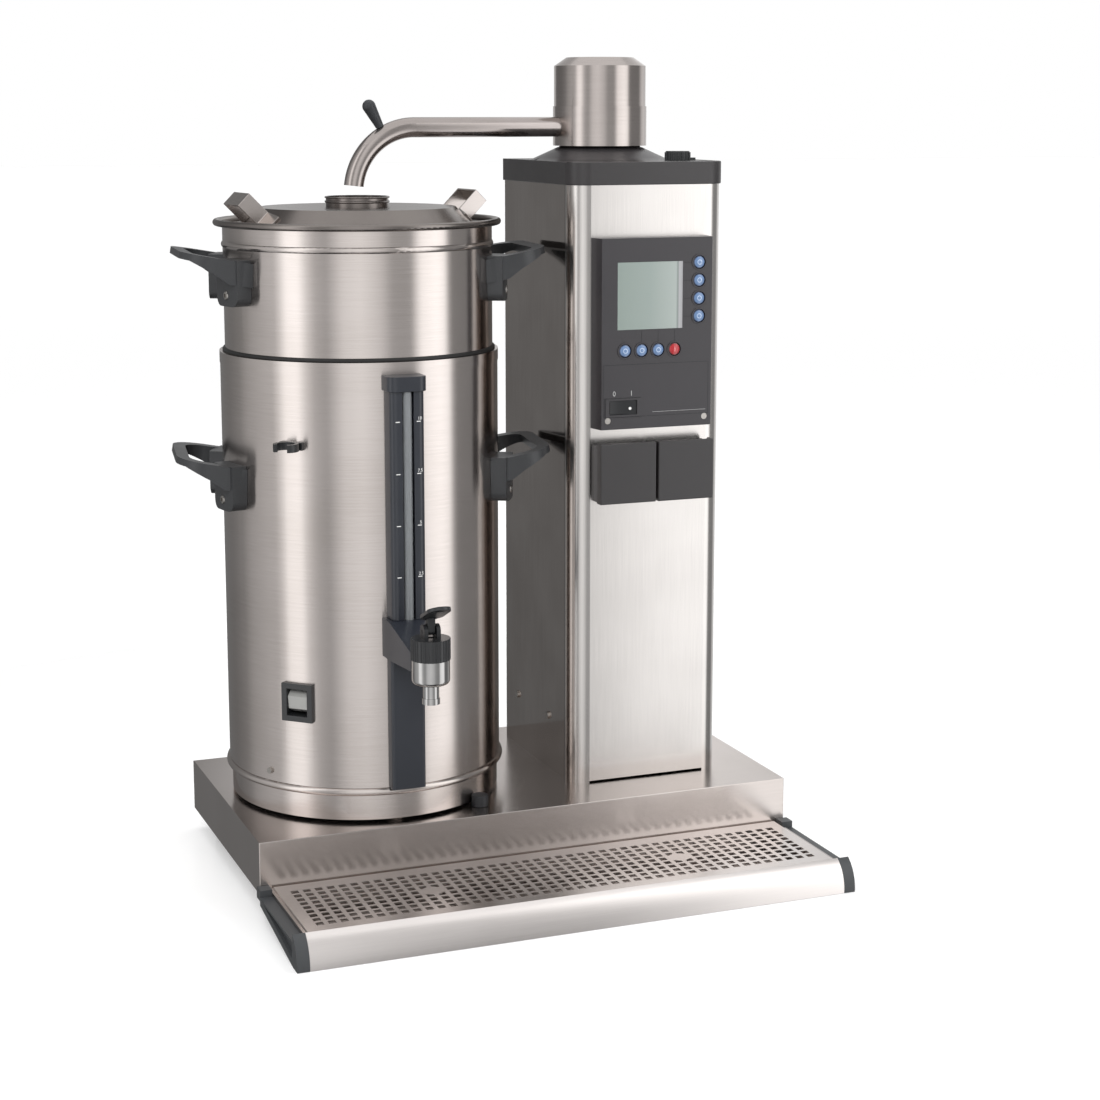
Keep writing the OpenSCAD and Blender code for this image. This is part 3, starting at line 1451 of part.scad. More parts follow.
// Lid pulls: strips bent into a U with turned-out feet, standing square on the slope
module lid_pull() {
    difference() {
        translate([lid_top_r + lid_rise / 2, 0, lid_rise / 2]) rotate([0, 45, 0]) rotate([90, 0, 90])
            linear_extrude(pull_w, center = true) {
                translate([-pull_legs / 2, pull_h - pull_t]) square([pull_legs, pull_t]);
                for (s = [-1, 1]) {
                    translate([s * (pull_legs - pull_t) / 2 - pull_t / 2, -pull_seat])
                        square([pull_t, pull_h + pull_seat]);
                    translate([s * (pull_legs / 2 - pull_t), -pull_seat]) rotate(-s * pull_foot_drop)
                        translate([s > 0 ? 0 : -pull_foot, 0]) square([pull_foot, 2 * pull_t]);
                }
            }
        translate([0, 0, -lid_rise])
            cylinder(r1 = lid_top_r + 2 * lid_rise + fit, r2 = lid_top_r + fit, h = 2 * lid_rise);
        translate([0, 0, urn_sheet - lid_rise]) cylinder(r = lid_r, h = lid_rise + fit);
        translate([0, 0, rim_r]) bead_ring(lid_r - rim_r, rim_r + fit);
    }
}

module lid_grips() {
    color("silver") for (a = [pull_turn, 180 + pull_turn]) at_urn(a) translate([0, 0, lid_z]) lid_pull();
}

// Drip tray: basin, bright front, end caps with side rails, and the grid
module front_section(inset) {
    intersection() {
        translate([-tray_d + inset, tray_gap + inset])
            square([profile_d - 2 * inset, tray_top - tray_gap - 2 * inset]);
        translate([-tray_d + profile_curve, profile_low]) circle(r = profile_curve - inset, $fn = 180);
    }
}

module tray_front_profile() {
    color("whitesmoke") along_x(-tray_over + end_w + fit, tray_w - 2 * end_w - 2 * fit) difference() {
        front_section(0);
        front_section(profile_t);
    }
}

// Left end cap, with its outer side at the tray's left edge
module tray_end_cap() {
    back = -tray_d + profile_d;
    block = -tray_rear_gap - rear_block_d;
    along_x(-tray_over, end_w) {
        front_section(0);
        translate([block, tray_top - rear_block_h]) square([rear_block_d, rear_block_h]);
    }
    difference() {
        along_x(-tray_over, end_w) polygon([[back - over, tray_gap], [back - over, rail_top],
            [block + over, rail_top], [block + over, rail_foot]]);
        along_x(-tray_over - over, pocket_d + over)
            polygon([[back + pocket_wall, tray_gap + 3 * pocket_wall],
                [back + pocket_wall, rail_top - pocket_wall],
                [block - 4 * pocket_wall, rail_top - pocket_wall]]);
    }
}

module tray_end_caps() {
    color("#3d4042") {
        tray_end_cap();
        translate([base_w - 2 * mid_x, 0, 0]) mirror([1, 0, 0]) tray_end_cap();
    }
}

module tray_basin() {
    x0 = end_w - tray_over + fit;
    w = base_w - 2 * x0;
    y0 = -tray_d + profile_d + fit;
    d = tray_d - profile_d - fit - tray_rear_gap;
    top = tray_top - grid_drop - grid_t;
    color("darkgray") {
        difference() {
            machine(x0, y0, basin_floor) cube([w, d, top - basin_floor]);
            machine(x0 + basin_t, y0 + basin_t, basin_floor + basin_t)
                cube([w - 2 * basin_t, d - 2 * basin_t, top - basin_floor - 2 * basin_t]);
            machine(x0 + grid_ledge, y0 + grid_ledge, basin_floor + basin_t)
                cube([w - 2 * grid_ledge, d - 2 * grid_ledge, top]);
        }
        for (x = [x0 + basin_foot_in, base_w - x0 - basin_foot_in])
            machine(x, -basin_foot_in, tray_gap)
                cylinder(r = basin_foot_r, h = basin_floor - tray_gap + basin_t);
    }
}

module drip_grid() {
    color("lightgray") machine(base_w / 2, -grid_rear - grid_l / 2, tray_top - grid_drop - grid_t)
        linear_extrude(grid_t) {
            difference() {
                square([grid_w, grid_l], center = true);
                for (i = [0 : grid_cols - 1], j = [0 : grid_rows - 1])
                    translate([(i - (grid_cols - 1) / 2) * grid_pitch_x,
                        (j - (grid_rows - 1) / 2) * grid_pitch_y]) square(grid_hole, center = true);
            }
            for (s = [-1, 1]) translate([s * grid_disc_at, 0]) circle(r = grid_disc_r);
        }
}

base_cabinet();
base_plate();
feet();
locating_posts();
column_front_panel();
column_rear_cover();
machine_screws();
top_cap();
panel_housing();
display_window();
service_cover();
socket_box();
boiler_tank();
inlet_valve();
water_pipes();
control_board();
mains_gland();
head_body();
head_cap();
swivel_spindle();
arm_pipe();
arm_grip();
filler_plug();
button(0);  // button_1
button(1);  // button_2
button(2);  // button_3
button(3);  // button_4
button(4);  // button_5
button(5);  // button_6
button(6);  // button_7
button(7);  // button_8
power_rocker();
socket_flap(-1);  // socket_flap_left
socket_flap(1);  // socket_flap_right
urn_outer_shell();
urn_skirt();
urn_inner_vessel();
urn_heater();
urn_handles();
urn_screws();
gauge_channel();
gauge_tube();
tap_mount();
tap_body();
tap_bonnet();
tap_lever();
tap_stem();
urn_switch_frame();
urn_switch_rocker();
urn_clip();
urn_inlet();
basket_drum();
basket_handles();
filter_insert();
lid_dish();
lid_grips();
tray_basin();
tray_front_profile();
tray_end_caps();
drip_grid();
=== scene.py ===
import json
import math

import bmesh
import bpy
from mathutils import Matrix, Vector
from mathutils.bvhtree import BVHTree


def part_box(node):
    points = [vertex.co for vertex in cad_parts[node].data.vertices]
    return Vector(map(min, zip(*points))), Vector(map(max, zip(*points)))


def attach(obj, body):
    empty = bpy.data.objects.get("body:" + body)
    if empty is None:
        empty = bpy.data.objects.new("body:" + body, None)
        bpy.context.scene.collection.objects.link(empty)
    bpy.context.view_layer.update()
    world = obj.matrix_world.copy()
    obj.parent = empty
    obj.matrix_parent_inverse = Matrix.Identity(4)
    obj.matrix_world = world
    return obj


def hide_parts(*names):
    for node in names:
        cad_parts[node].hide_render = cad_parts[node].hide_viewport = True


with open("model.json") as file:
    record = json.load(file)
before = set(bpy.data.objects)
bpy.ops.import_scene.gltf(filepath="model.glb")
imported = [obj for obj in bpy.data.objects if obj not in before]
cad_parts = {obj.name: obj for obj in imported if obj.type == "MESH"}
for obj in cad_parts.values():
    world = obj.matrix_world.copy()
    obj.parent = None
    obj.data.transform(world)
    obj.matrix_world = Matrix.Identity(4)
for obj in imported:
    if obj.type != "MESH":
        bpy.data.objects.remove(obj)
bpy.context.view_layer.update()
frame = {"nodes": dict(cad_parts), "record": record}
nodes = frame["nodes"]
body_of = {node: body for body, names in frame["record"]["behaviour"]["bodies"].items() for node in names}

# Base cabinet
# One tray of 1.5 mm stainless sheet, folded, turned upside down and welded at the corners. It
# is belt-ground along its length, so light smears across the grain and fine lines run along it.
# A plate with its dull mill finish closes it from below.
MM = 0.001
STEEL = "#d3cbc7"
STEEL_DARK = "#c9c1bc"
BASE_EDGE = 0.9 * MM
GRAIN_DEPTH = 0.006 * MM


def linear(hex_colour):
    """The linear colour of an sRGB hex value, as a shader takes it."""
    parts = [int(hex_colour[i:i + 2], 16) / 255 for i in (1, 3, 5)]
    return [p / 12.92 if p <= 0.04045 else ((p + 0.055) / 1.055) ** 2.4 for p in parts] + [1.0]


def add_node(material, kind, inputs, **settings):
    """Adds a shader node, sets its properties, and links or sets each named input."""
    node = material.node_tree.nodes.new(kind)
    for name, value in settings.items():
        setattr(node, name, value)
    for name, value in inputs.items():
        if isinstance(value, bpy.types.NodeSocket):
            material.node_tree.links.new(value, node.inputs[name])
        else:
            node.inputs[name].default_value = value
    return node


def start_material(name, metallic, roughness, **sockets):
    """A material whose shader has these fixed values, and the shader itself."""
    material = bpy.data.materials.new(name)
    material.use_nodes = True
    shader = material.node_tree.nodes["Principled BSDF"]
    shader.inputs["Metallic"].default_value = metallic
    shader.inputs["Roughness"].default_value = roughness
    for socket, value in sockets.items():
        shader.inputs[socket.replace("_", " ")].default_value = value
    return material, shader


def feed(material, shader, **links):
    """Links outputs to the shader's inputs by name."""
    for socket, output in links.items():
        material.node_tree.links.new(output, shader.inputs[socket.replace("_", " ")])


def place(material, pitch):
    """Object coordinates divided by a length in metres along X, Y and Z."""
    where = add_node(material, "ShaderNodeTexCoord", {})
    scale = Vector([1 / p for p in pitch])
    return add_node(material, "ShaderNodeVectorMath", {
        0: where.outputs["Object"], 1: scale}, operation="MULTIPLY").outputs[0]


def ground_steel(name, pitch, roughness=0.2, colours=(STEEL_DARK, STEEL), stretch=0.75):
    """Belt-ground stainless sheet. pitch is how long and how far apart its grain lines are, along
    X, Y and Z. Real grain is about 0.1 mm apart, too fine to show, so it is drawn near 1 mm apart."""
    material, shader = start_material(name, 1.0, roughness, Anisotropic=stretch)
    grain = add_node(material, "ShaderNodeTexNoise", {
        "Vector": place(material, pitch), "Scale": 1.0, "Detail": 4.0, "Roughness": 0.7})
    cloud = add_node(material, "ShaderNodeTexNoise", {
        "Vector": place(material, (0.09, 0.09, 0.09)), "Scale": 1.0, "Detail": 2.0})
    mixed = add_node(material, "ShaderNodeMath", {
        0: grain.outputs["Fac"], 1: cloud.outputs["Fac"]}, operation="ADD")
    tone = add_node(material, "ShaderNodeMapRange", {
        "Value": mixed.outputs[0], "From Min": 0.7, "From Max": 1.2})
    colour = add_node(material, "ShaderNodeMix", {
        "Factor": tone.outputs[0], 6: linear(colours[0]), 7: linear(colours[1])}, data_type="RGBA")
    spread = add_node(material, "ShaderNodeMapRange", {
        "Value": grain.outputs["Fac"], "From Min": 0.3, "From Max": 0.7,
        "To Min": roughness * 0.93, "To Max": roughness * 1.08})
    bump = add_node(material, "ShaderNodeBump", {
        "Height": grain.outputs["Fac"], "Strength": 0.3, "Distance": GRAIN_DEPTH})
    upright = add_node(material, "ShaderNodeCombineXYZ", {"X": 0.02, "Y": 0.01, "Z": 1.0})
    feed(material, shader, Base_Color=colour.outputs[2], Roughness=spread.outputs[0],
         Normal=bump.outputs[0], Tangent=upright.outputs[0])
    return material


def paint(material, *names):
    """Gives CAD solids that are shown as they are a material."""
    for name in names:
        for slot in nodes[name].material_slots:
            slot.material = material


def soften(name, material, radius, clamp=False):
    """Stands a copy in for a CAD solid, whose own edges are sharp, and rounds them. A radius of 0
    keeps the edges, and clamp narrows the rounding where they lie close together."""
    sharp = math.radians(35)
    piece = bpy.data.objects.new(name + "_finished", bpy.data.meshes.new(name + "_finished"))
    bpy.context.scene.collection.objects.link(piece)
    shape = bmesh.new()
    shape.from_mesh(nodes[name].data)
    bmesh.ops.remove_doubles(shape, verts=shape.verts, dist=0.002 * MM)
    shape.to_mesh(piece.data)
    shape.free()
    normals = piece.data.attributes.get("custom_normal")
    if normals:
        piece.data.attributes.remove(normals)
    piece.data.shade_smooth()
    piece.data.materials.clear()
    piece.data.materials.append(material)
    if radius:
        bevel = piece.modifiers.new("edges", "BEVEL")
        bevel.width = radius
        bevel.segments = 3
        bevel.limit_method = "ANGLE"
        bevel.angle_limit = sharp
        bevel.use_clamp_overlap = clamp
        bevel.harden_normals = True
    else:
        piece.data.set_sharp_from_angle(angle=sharp)
    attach(piece, body_of[name])
    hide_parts(name)
    return piece


base_steel = ground_steel("ground_stainless_base", (0.06, 0.0011, 0.0009), roughness=0.2)
soften("base_cabinet", base_steel, BASE_EDGE)
plate_steel = ground_steel("mill_finish_plate", (0.03, 0.004, 0.004), roughness=0.35, stretch=0.0)
paint(plate_steel, "base_plate")


# Feet and locating posts
# The feet are moulded nitrile rubber with a bolt through the middle. The posts that the urn
# stands between are turned from black nylon and screwed to the base. Both are matt.
def moulded(name, colour, roughness, grit, relief, coat=0.0):
    """Moulded plastic or rubber from a spark-eroded mould, with pits grit metres apart and relief
    metres deep. Real pits are about 0.1 mm apart, too fine to show, so they are drawn coarser."""
    material, shader = start_material(name, 0.0, roughness, Coat_Weight=coat, Coat_Roughness=0.2)
    pits = add_node(material, "ShaderNodeTexNoise", {
        "Vector": place(material, (grit, grit, grit)), "Scale": 1.0, "Detail": 2.0})
    haze = add_node(material, "ShaderNodeTexNoise", {
        "Vector": place(material, (0.05, 0.05, 0.05)), "Scale": 1.0, "Detail": 3.0})
    base = linear(colour)
    pale = [min(1.0, part * 1.24 + 0.004) for part in base[:3]] + [1.0]
    tint = add_node(material, "ShaderNodeMix", {
        "Factor": haze.outputs["Fac"], 6: base, 7: pale}, data_type="RGBA")
    sheen = add_node(material, "ShaderNodeMapRange", {
        "Value": haze.outputs["Fac"], "From Min": 0.3, "From Max": 0.7,
        "To Min": roughness * 0.9, "To Max": roughness * 1.12})
    bump = add_node(material, "ShaderNodeBump", {
        "Height": pits.outputs["Fac"], "Strength": 0.6, "Distance": relief})
    feed(material, shader, Base_Color=tint.outputs[2], Roughness=sheen.outputs[0], Normal=bump.outputs[0])
    return material


rubber = moulded("nitrile_rubber", "#232323", 0.7, 0.8 * MM, 0.05 * MM)
post_nylon = moulded("black_nylon_turned", "#1f2023", 0.42, 0.7 * MM, 0.02 * MM)
soften("feet", rubber, 1.0 * MM)
soften("locating_posts", post_nylon, 0.8 * MM)

# Column
# The front is a stainless sheet rolled round both corners. The rear cover is a folded sheet
# that is left brighter and less ground, so its side mirrors the urn's handles.
column_steel = ground_steel("ground_stainless_column", (0.0012, 0.0012, 0.09), roughness=0.22, stretch=0.5,
                            colours=("#d2cecb", "#dcd8d5"))
cover_steel = ground_steel("bright_rolled_stainless", (0.0012, 0.0012, 0.09), roughness=0.1, stretch=0.3,
                           colours=("#b4aca7", "#c6bfba"))
paint(column_steel, "column_front_panel")
paint(cover_steel, "column_rear_cover")


# Screws
# Zinc-plated pan-head machine screws hold the covers, the control panel and the urn's handles.
# The plating is brighter in some patches than in others.
def two_tone(name, metallic, roughness, pitch, detail, tones, **sockets):
    """A material that drifts between two tones, in patches pitch metres across."""
    material, shader = start_material(name, metallic, roughness, **sockets)
    cloud = add_node(material, "ShaderNodeTexNoise", {
        "Vector": place(material, pitch), "Scale": 1.0, "Detail": detail})
    tone = add_node(material, "ShaderNodeMix", {
        "Factor": cloud.outputs["Fac"], 6: linear(tones[0]), 7: linear(tones[1])}, data_type="RGBA")
    feed(material, shader, Base_Color=tone.outputs[2])
    return material


screw_zinc = two_tone("bright_zinc_plate", 1.0, 0.28, (2 * MM, 2 * MM, 2 * MM), 3.0, ("#96928e", "#c4c0bb"))
paint(screw_zinc, "machine_screws", "urn_screws")

# Top cap and filler plug
# The cap is moulded in grey ABS, with a sloping collar up to the swivel head. The plug that
# closes its descaling hole is softer black polypropylene. Fine pits give both an even sheen.
cap_plastic = moulded("grey_abs_cap", "#2b292a", 0.38, 0.6 * MM, 0.02 * MM, coat=0.15)
plug_plastic = moulded("black_polypropylene", "#2b2d2e", 0.45, 0.6 * MM, 0.02 * MM)
soften("top_cap", cap_plastic, 1.2 * MM)
soften("filler_plug", plug_plastic, 0.0)

# Control panel
# A frame moulded in the same grey ABS holds a liquid crystal display, eight domed buttons and a
# cover with the power switch. Two screws hold it to the column.
panel_plastic = moulded("grey_abs_panel", "#2d2b2e", 0.36, 0.5 * MM, 0.015 * MM, coat=0.12)
soften("panel_housing", panel_plastic, 0.0)
soften("service_cover", panel_plastic, 0.0)

# Display
# A liquid crystal cell behind a clear window, clipped in from behind. It is grey-green, with
# painted light: it grows paler to the right, and past a dark line near its right edge a
# painted highlight lies where the window's step catches the light.
glass, glass_shader = start_material("display_glass", 0.0, 0.16, Coat_Weight=0.6, Coat_Roughness=0.05)
across_window = add_node(glass, "ShaderNodeSeparateXYZ", {
    "Vector": add_node(glass, "ShaderNodeTexCoord", {}).outputs["Generated"]})
# Painted light: the tones grow paler to the right, and the stops past the dark line are a painted highlight.
window_tone_and_light = add_node(glass, "ShaderNodeValToRGB", {"Fac": across_window.outputs["X"]})
WINDOW_TONE_AND_LIGHT = ((0.0, "#828f89"), (0.5, "#8a9691"), (0.9, "#9ca5a1"), (0.925, "#767f7d"), (0.95, "#a3a3a5"),
         (1.0, "#949497"))
while len(window_tone_and_light.color_ramp.elements) < len(WINDOW_TONE_AND_LIGHT):
    window_tone_and_light.color_ramp.elements.new(0.5)
for element, (position, tone) in zip(window_tone_and_light.color_ramp.elements, WINDOW_TONE_AND_LIGHT):
    element.position = position
    element.color = linear(tone)
feed(glass, glass_shader, Base_Color=window_tone_and_light.outputs["Color"])
paint(glass, "display_window")


# Buttons
# Domed caps of lacquered plastic, seven blue and one red, each with a dark moulded skirt and a
# pale ring or bar for its mark. The power switch's rocker is a black moulding.
def button_plastic(name, colour, skirt, mark, mark_is_bar):
    """Glossy lacquered plastic. Its skirt and mark follow the distance from the dome's middle."""
    material, shader = start_material(name, 0.0, 0.22, Coat_Weight=0.7, Coat_Roughness=0.06)
    middle = add_node(material, "ShaderNodeVectorMath", {
        0: add_node(material, "ShaderNodeTexCoord", {}).outputs["Generated"], 1: (0.5, 0.5, 0.5)},
        operation="SUBTRACT")
    flat = add_node(material, "ShaderNodeVectorMath", {
        0: middle.outputs[0], 1: (5.0, 0.0, 1.0) if mark_is_bar else (1.0, 0.0, 1.0)}, operation="MULTIPLY")
    away = add_node(material, "ShaderNodeVectorMath", {0: flat.outputs[0]}, operation="LENGTH")
    inner, outer = (0.0, 0.2) if mark_is_bar else (0.13, 0.2)
    past_inner = add_node(material, "ShaderNodeMath", {
        0: away.outputs["Value"], 1: inner}, operation="GREATER_THAN")
    within = add_node(material, "ShaderNodeMath", {
        0: away.outputs["Value"], 1: outer}, operation="LESS_THAN")
    marked = add_node(material, "ShaderNodeMath", {
        0: past_inner.outputs[0], 1: within.outputs[0]}, operation="MULTIPLY")
    level = add_node(material, "ShaderNodeVectorMath", {
        0: middle.outputs[0], 1: (1.0, 0.0, 1.0)}, operation="MULTIPLY")
    reach = add_node(material, "ShaderNodeVectorMath", {0: level.outputs[0]}, operation="LENGTH")
    at_edge = add_node(material, "ShaderNodeMapRange", {
        "Value": reach.outputs["Value"], "From Min": 0.38, "From Max": 0.44})
    with_mark = add_node(material, "ShaderNodeMix", {
        "Factor": marked.outputs[0], 6: linear(colour), 7: linear(mark)}, data_type="RGBA")
    with_skirt = add_node(material, "ShaderNodeMix", {
        "Factor": at_edge.outputs[0], 6: with_mark.outputs[2], 7: linear(skirt)}, data_type="RGBA")
    feed(material, shader, Base_Color=with_skirt.outputs[2])
    return material


blue_button = button_plastic("blue_button_lacquer", "#6480a8", "#1c2740", "#a9bcd6", False)
red_button = button_plastic("red_button_lacquer", "#ad2129", "#3a1014", "#e08a8c", True)
for number in range(1, 8):
    paint(blue_button, f"button_{number}")
paint(red_button, "button_8")

rocker_plastic = moulded("black_switch_plastic", "#191a1c", 0.3, 0.6 * MM, 0.01 * MM, coat=0.3)
soften("power_rocker", rocker_plastic, 0.3 * MM)


# Panel print
# Dark screen-printed lines lead from the display to the buttons and round the cover, and two
# black frames stand round the switch. Its marks and the line beside it are pale grey ink.
def bar(across, up, width, height):
    """The corners of an upright rectangle, in millimetres from the middle of its face."""
    return [(across + sx * width / 2, up + sz * height / 2)
            for sx, sz in ((-1, -1), (1, -1), (1, 1), (-1, 1))]


def frame_bars(across, up, width, height, line):
    """Four bars that make a rectangular frame of that outer size."""
    bars = [bar(across, up + s * (height - line) / 2, width, line) for s in (-1, 1)]
    return bars + [bar(across + s * (width - line) / 2, up, line, height - 2 * line) for s in (-1, 1)]


def hoop(across, up, half_width, half_height, line, steps=40):
    """Short pieces that make an oval ring."""
    turns = [2 * math.pi * i / steps for i in range(steps + 1)]
    rim = [(math.cos(t), math.sin(t)) for t in turns]
    return [[(across + half_width * a[0], up + half_height * a[1]),
             (across + half_width * b[0], up + half_height * b[1]),
             (across + (half_width - line) * b[0], up + (half_height - line) * b[1]),
             (across + (half_width - line) * a[0], up + (half_height - line) * a[1])]
            for a, b in zip(rim, rim[1:])]


def add_piece(name, mesh, material, body):
    """A piece that the CAD hasn't got, which rides on a body."""
    mesh.materials.append(material)
    piece = bpy.data.objects.new(name, mesh)
    bpy.context.scene.collection.objects.link(piece)
    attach(piece, body)
    return piece


def on_face(name, outlines, middle, rise, material, body, drop=lambda across: 0.0):
    """Flat shapes rise metres thick on a face that looks along -Y, whose middle is given. Each is a
    list of points across and up in millimetres, and drop says how far the face lies back there."""
    mesh = bpy.data.meshes.new(name)
    shape = bmesh.new()
    for outline in outlines:
        rows = []
        for out in (-0.02 * MM, rise):
            rows.append([shape.verts.new((middle[0] + x * MM, middle[1] - out + drop(x), middle[2] + z * MM))
                         for x, z in outline])
        shape.faces.new(rows[1])
        shape.faces.new(rows[0][::-1])
        for i in range(len(outline)):
            j = (i + 1) % len(outline)
            shape.faces.new((rows[0][i], rows[0][j], rows[1][j], rows[1][i]))
    bmesh.ops.recalc_face_normals(shape, faces=shape.faces)
    shape.to_mesh(mesh)
    shape.free()
    add_piece(name, mesh, material, body)


window_low, window_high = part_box("display_window")
cover_low, cover_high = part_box("service_cover")
rocker_low, rocker_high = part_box("power_rocker")
PANEL_FACE_Y = window_low[1]
LINE = 0.5
RING_GAP = 1.0
button_boxes = [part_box(f"button_{number}") for number in range(1, 9)]
leads = []
for low, high in button_boxes[:4]:
    reach = (low[0] - window_high[0]) / MM - 2 * RING_GAP
    leads.append(bar(window_high[0] / MM + RING_GAP + reach / 2, (low[2] + high[2]) / 2 / MM, reach, LINE))
for low, high in button_boxes[5:]:
    reach = (window_low[2] - high[2]) / MM - 2 * RING_GAP
    leads.append(bar((low[0] + high[0]) / 2 / MM, high[2] / MM + RING_GAP + reach / 2, LINE, reach))
cover_middle = [(a + b) / 2 / MM for a, b in zip(cover_low, cover_high)]
cover_size = [(b - a) / MM for a, b in zip(cover_low, cover_high)]
rocker_middle = [(a + b) / 2 / MM for a, b in zip(rocker_low, rocker_high)]
COVER_HIGH = 55.5
cover_mid_z = cover_high[2] / MM - COVER_HIGH / 2
leads += frame_bars(cover_middle[0], cover_mid_z, cover_size[0] + LINE, COVER_HIGH + LINE, LINE)
dark_ink = two_tone("black_screen_ink", 0.0, 0.4, (1.5 * MM, 1.5 * MM, 1.5 * MM), 2.0,
                    ("#121214", "#1c1c1f"))
face = (0.0, PANEL_FACE_Y, 0.0)
INK_THICK = 0.06 * MM
on_face("panel_leads", leads, face, INK_THICK, dark_ink, "machine")
FRAME_RISE = 0.35 * MM
FRAME_OUT = (41.0, 20.5, 1.1)
FRAME_IN = (33.4, 16.6, 1.0)
frames = []
for wide, high, line in (FRAME_OUT, FRAME_IN):
    frames += frame_bars(rocker_middle[0], rocker_middle[2], wide, high, line)
on_face("rocker_frames", frames, face, FRAME_RISE, dark_ink, "machine")

INK_GRAIN = (0.8 * MM, 0.8 * MM, 0.8 * MM)
pale_ink = two_tone("pale_screen_ink", 0.0, 0.5, INK_GRAIN, 2.0, ("#a8a8a8", "#c0c0c0"))
MARK_UP = 15.0
OFF_LEFT, ON_RIGHT = -9.7, 10.0
OFF_HALF_WIDE, OFF_HALF_HIGH, OFF_LINE = 1.5, 2.6, 0.6
ON_LINE, ON_HIGH = 0.7, 5.2
RULE_RIGHT, RULE_DOWN, RULE_LONG, RULE_LINE = 27.0, 6.0, 62.0, 0.3
pale = hoop(rocker_middle[0] + OFF_LEFT, rocker_middle[2] + MARK_UP, OFF_HALF_WIDE, OFF_HALF_HIGH, OFF_LINE)
pale += [bar(rocker_middle[0] + ON_RIGHT, rocker_middle[2] + MARK_UP, ON_LINE, ON_HIGH)]
pale += [bar(cover_middle[0] + RULE_RIGHT, rocker_middle[2] - RULE_DOWN, RULE_LONG, RULE_LINE)]
on_face("panel_marks", pale, face, INK_THICK, pale_ink, "machine")
white_ink = two_tone("white_lamp_lens", 0.0, 0.3, INK_GRAIN, 2.0, ("#dcdcda", "#f2f2f0"))


def surface_y(name, x, z):
    """How far forward a CAD solid reaches at that place, seen from the front."""
    tree = BVHTree.FromPolygons([v.co for v in nodes[name].data.vertices],
                                [p.vertices for p in nodes[name].data.polygons])
    return tree.ray_cast(Vector((x, -1.0, z)), Vector((0, 1, 0)))[0].y


LENS_R, LENS_RISE = 1.6, 0.1 * MM
LENS_RIGHT, LENS_DOWN = 8.0, 1.0
lens_x, lens_z = rocker_middle[0] + LENS_RIGHT, rocker_middle[2] - LENS_DOWN
lens_y = min(surface_y("power_rocker", (lens_x + s * LENS_R) * MM, lens_z * MM) for s in (-1, 1))
lens = [[(lens_x + LENS_R * math.cos(t), lens_z + LENS_R * math.sin(t))
         for t in (2 * math.pi * i / 32 for i in range(32))]]
on_face("rocker_lens", lens, (0.0, lens_y, 0.0), LENS_RISE, white_ink, "power_rocker")

# Power sockets
# Two flaps of the same grey ABS cover a moulded box with two sockets. They turn up on a pin
# along their top edge, and their corners are well rounded.
soften("socket_box", panel_plastic, 0.0)
soften("socket_flap_left", cap_plastic, 1.4 * MM)
soften("socket_flap_right", cap_plastic, 1.4 * MM)

# Water heater, pipes and electronics
# A welded stainless tank with its copper feed and a varnished circuit board are hidden in the
# column. A turned brass valve and a plastic gland stand out at the back of the base.
tank_steel = ground_steel("welded_tank_stainless", (0.01, 0.01, 0.002), roughness=0.35, stretch=0.0)
paint(tank_steel, "boiler_tank")
copper = two_tone("drawn_copper", 1.0, 0.3, (0.02, 0.02, 0.02), 4.0, ("#a8623f", "#c98760"))
paint(copper, "water_pipes")
brass = two_tone("turned_brass", 1.0, 0.28, (0.02, 0.02, 0.001), 4.0, ("#b08d4c", "#cdb06d"))
paint(brass, "inlet_valve")
board_lacquer = moulded("green_board_lacquer", "#1f4a33", 0.4, 1.0 * MM, 0.02 * MM)
paint(board_lacquer, "control_board")
paint(plug_plastic, "mains_gland")

# Swivel head
# Two deep-drawn stainless cups turn on the spindle and carry the arm. They are brushed round on
# a lathe, so upright bands of light and dark run down them.
head_steel = ground_steel("lathe_brushed_stainless", (0.05, 0.05, 0.0010), roughness=0.2,
                          colours=("#b8b0ac", "#c2bab6"))
paint(head_steel, "head_body", "head_cap")
paint(tank_steel, "swivel_spindle")

# Pouring arm and grip
# The arm is a bent stainless tube, fixed in the head. It is brushed and then polished, so a
# sharp highlight runs along it. The grip is a moulded knob.
# Painted shade: the tube's steel is given a darker tone than the urn's, for the dark that the tube reflects.
arm_steel = ground_steel("brushed_tube", (0.02, 0.02, 0.0012), roughness=0.18, stretch=0.4,
                         colours=("#aaa29e", "#b5adaa"))
paint(arm_steel, "arm_pipe")
grip_plastic = moulded("black_grip_plastic", "#26282b", 0.4, 0.6 * MM, 0.02 * MM)
soften("arm_grip", grip_plastic, 0.6 * MM)

# Urn
# The outer shell is a rolled and seam-welded stainless sheet, ground round its girth, so it
# shows upright bands of light. The skirt below has a rolled bead, and the vessel inside is
# brighter.
urn_steel = ground_steel("ground_stainless_urn", (0.05, 0.05, 0.0010), roughness=0.2, stretch=0.8)
vessel_steel = ground_steel("bright_vessel_stainless", (0.03, 0.03, 0.0015), roughness=0.18, stretch=0.4)
paint(urn_steel, "urn_outer_shell", "urn_skirt")
paint(vessel_steel, "urn_inner_vessel")
paint(tank_steel, "urn_heater")

# Side handles
# Phenolic handles are moulded hollow behind the grip, and two ears of each are screwed to the
# wall from outside. The moulding has a slight gloss.
handle_plastic = moulded("black_phenolic", "#2c2d2f", 0.42, 0.6 * MM, 0.02 * MM, coat=0.1)
soften("urn_handles", handle_plastic, 0.0)
soften("basket_handles", handle_plastic, 0.0)

# Handle screws
# Zinc-plated screws sit in the recesses of the handles' ears and hold them to the wall. Each
# head is domed, with a socket in its middle that shows as a darker dot.
HEAD_R = 4.5
EAR_OUT = 16.0
HEAD_LONG, FACE_LONG = 2.8, 0.05
SCREW_SIDE = 21
SCREW_DROP = 36.0


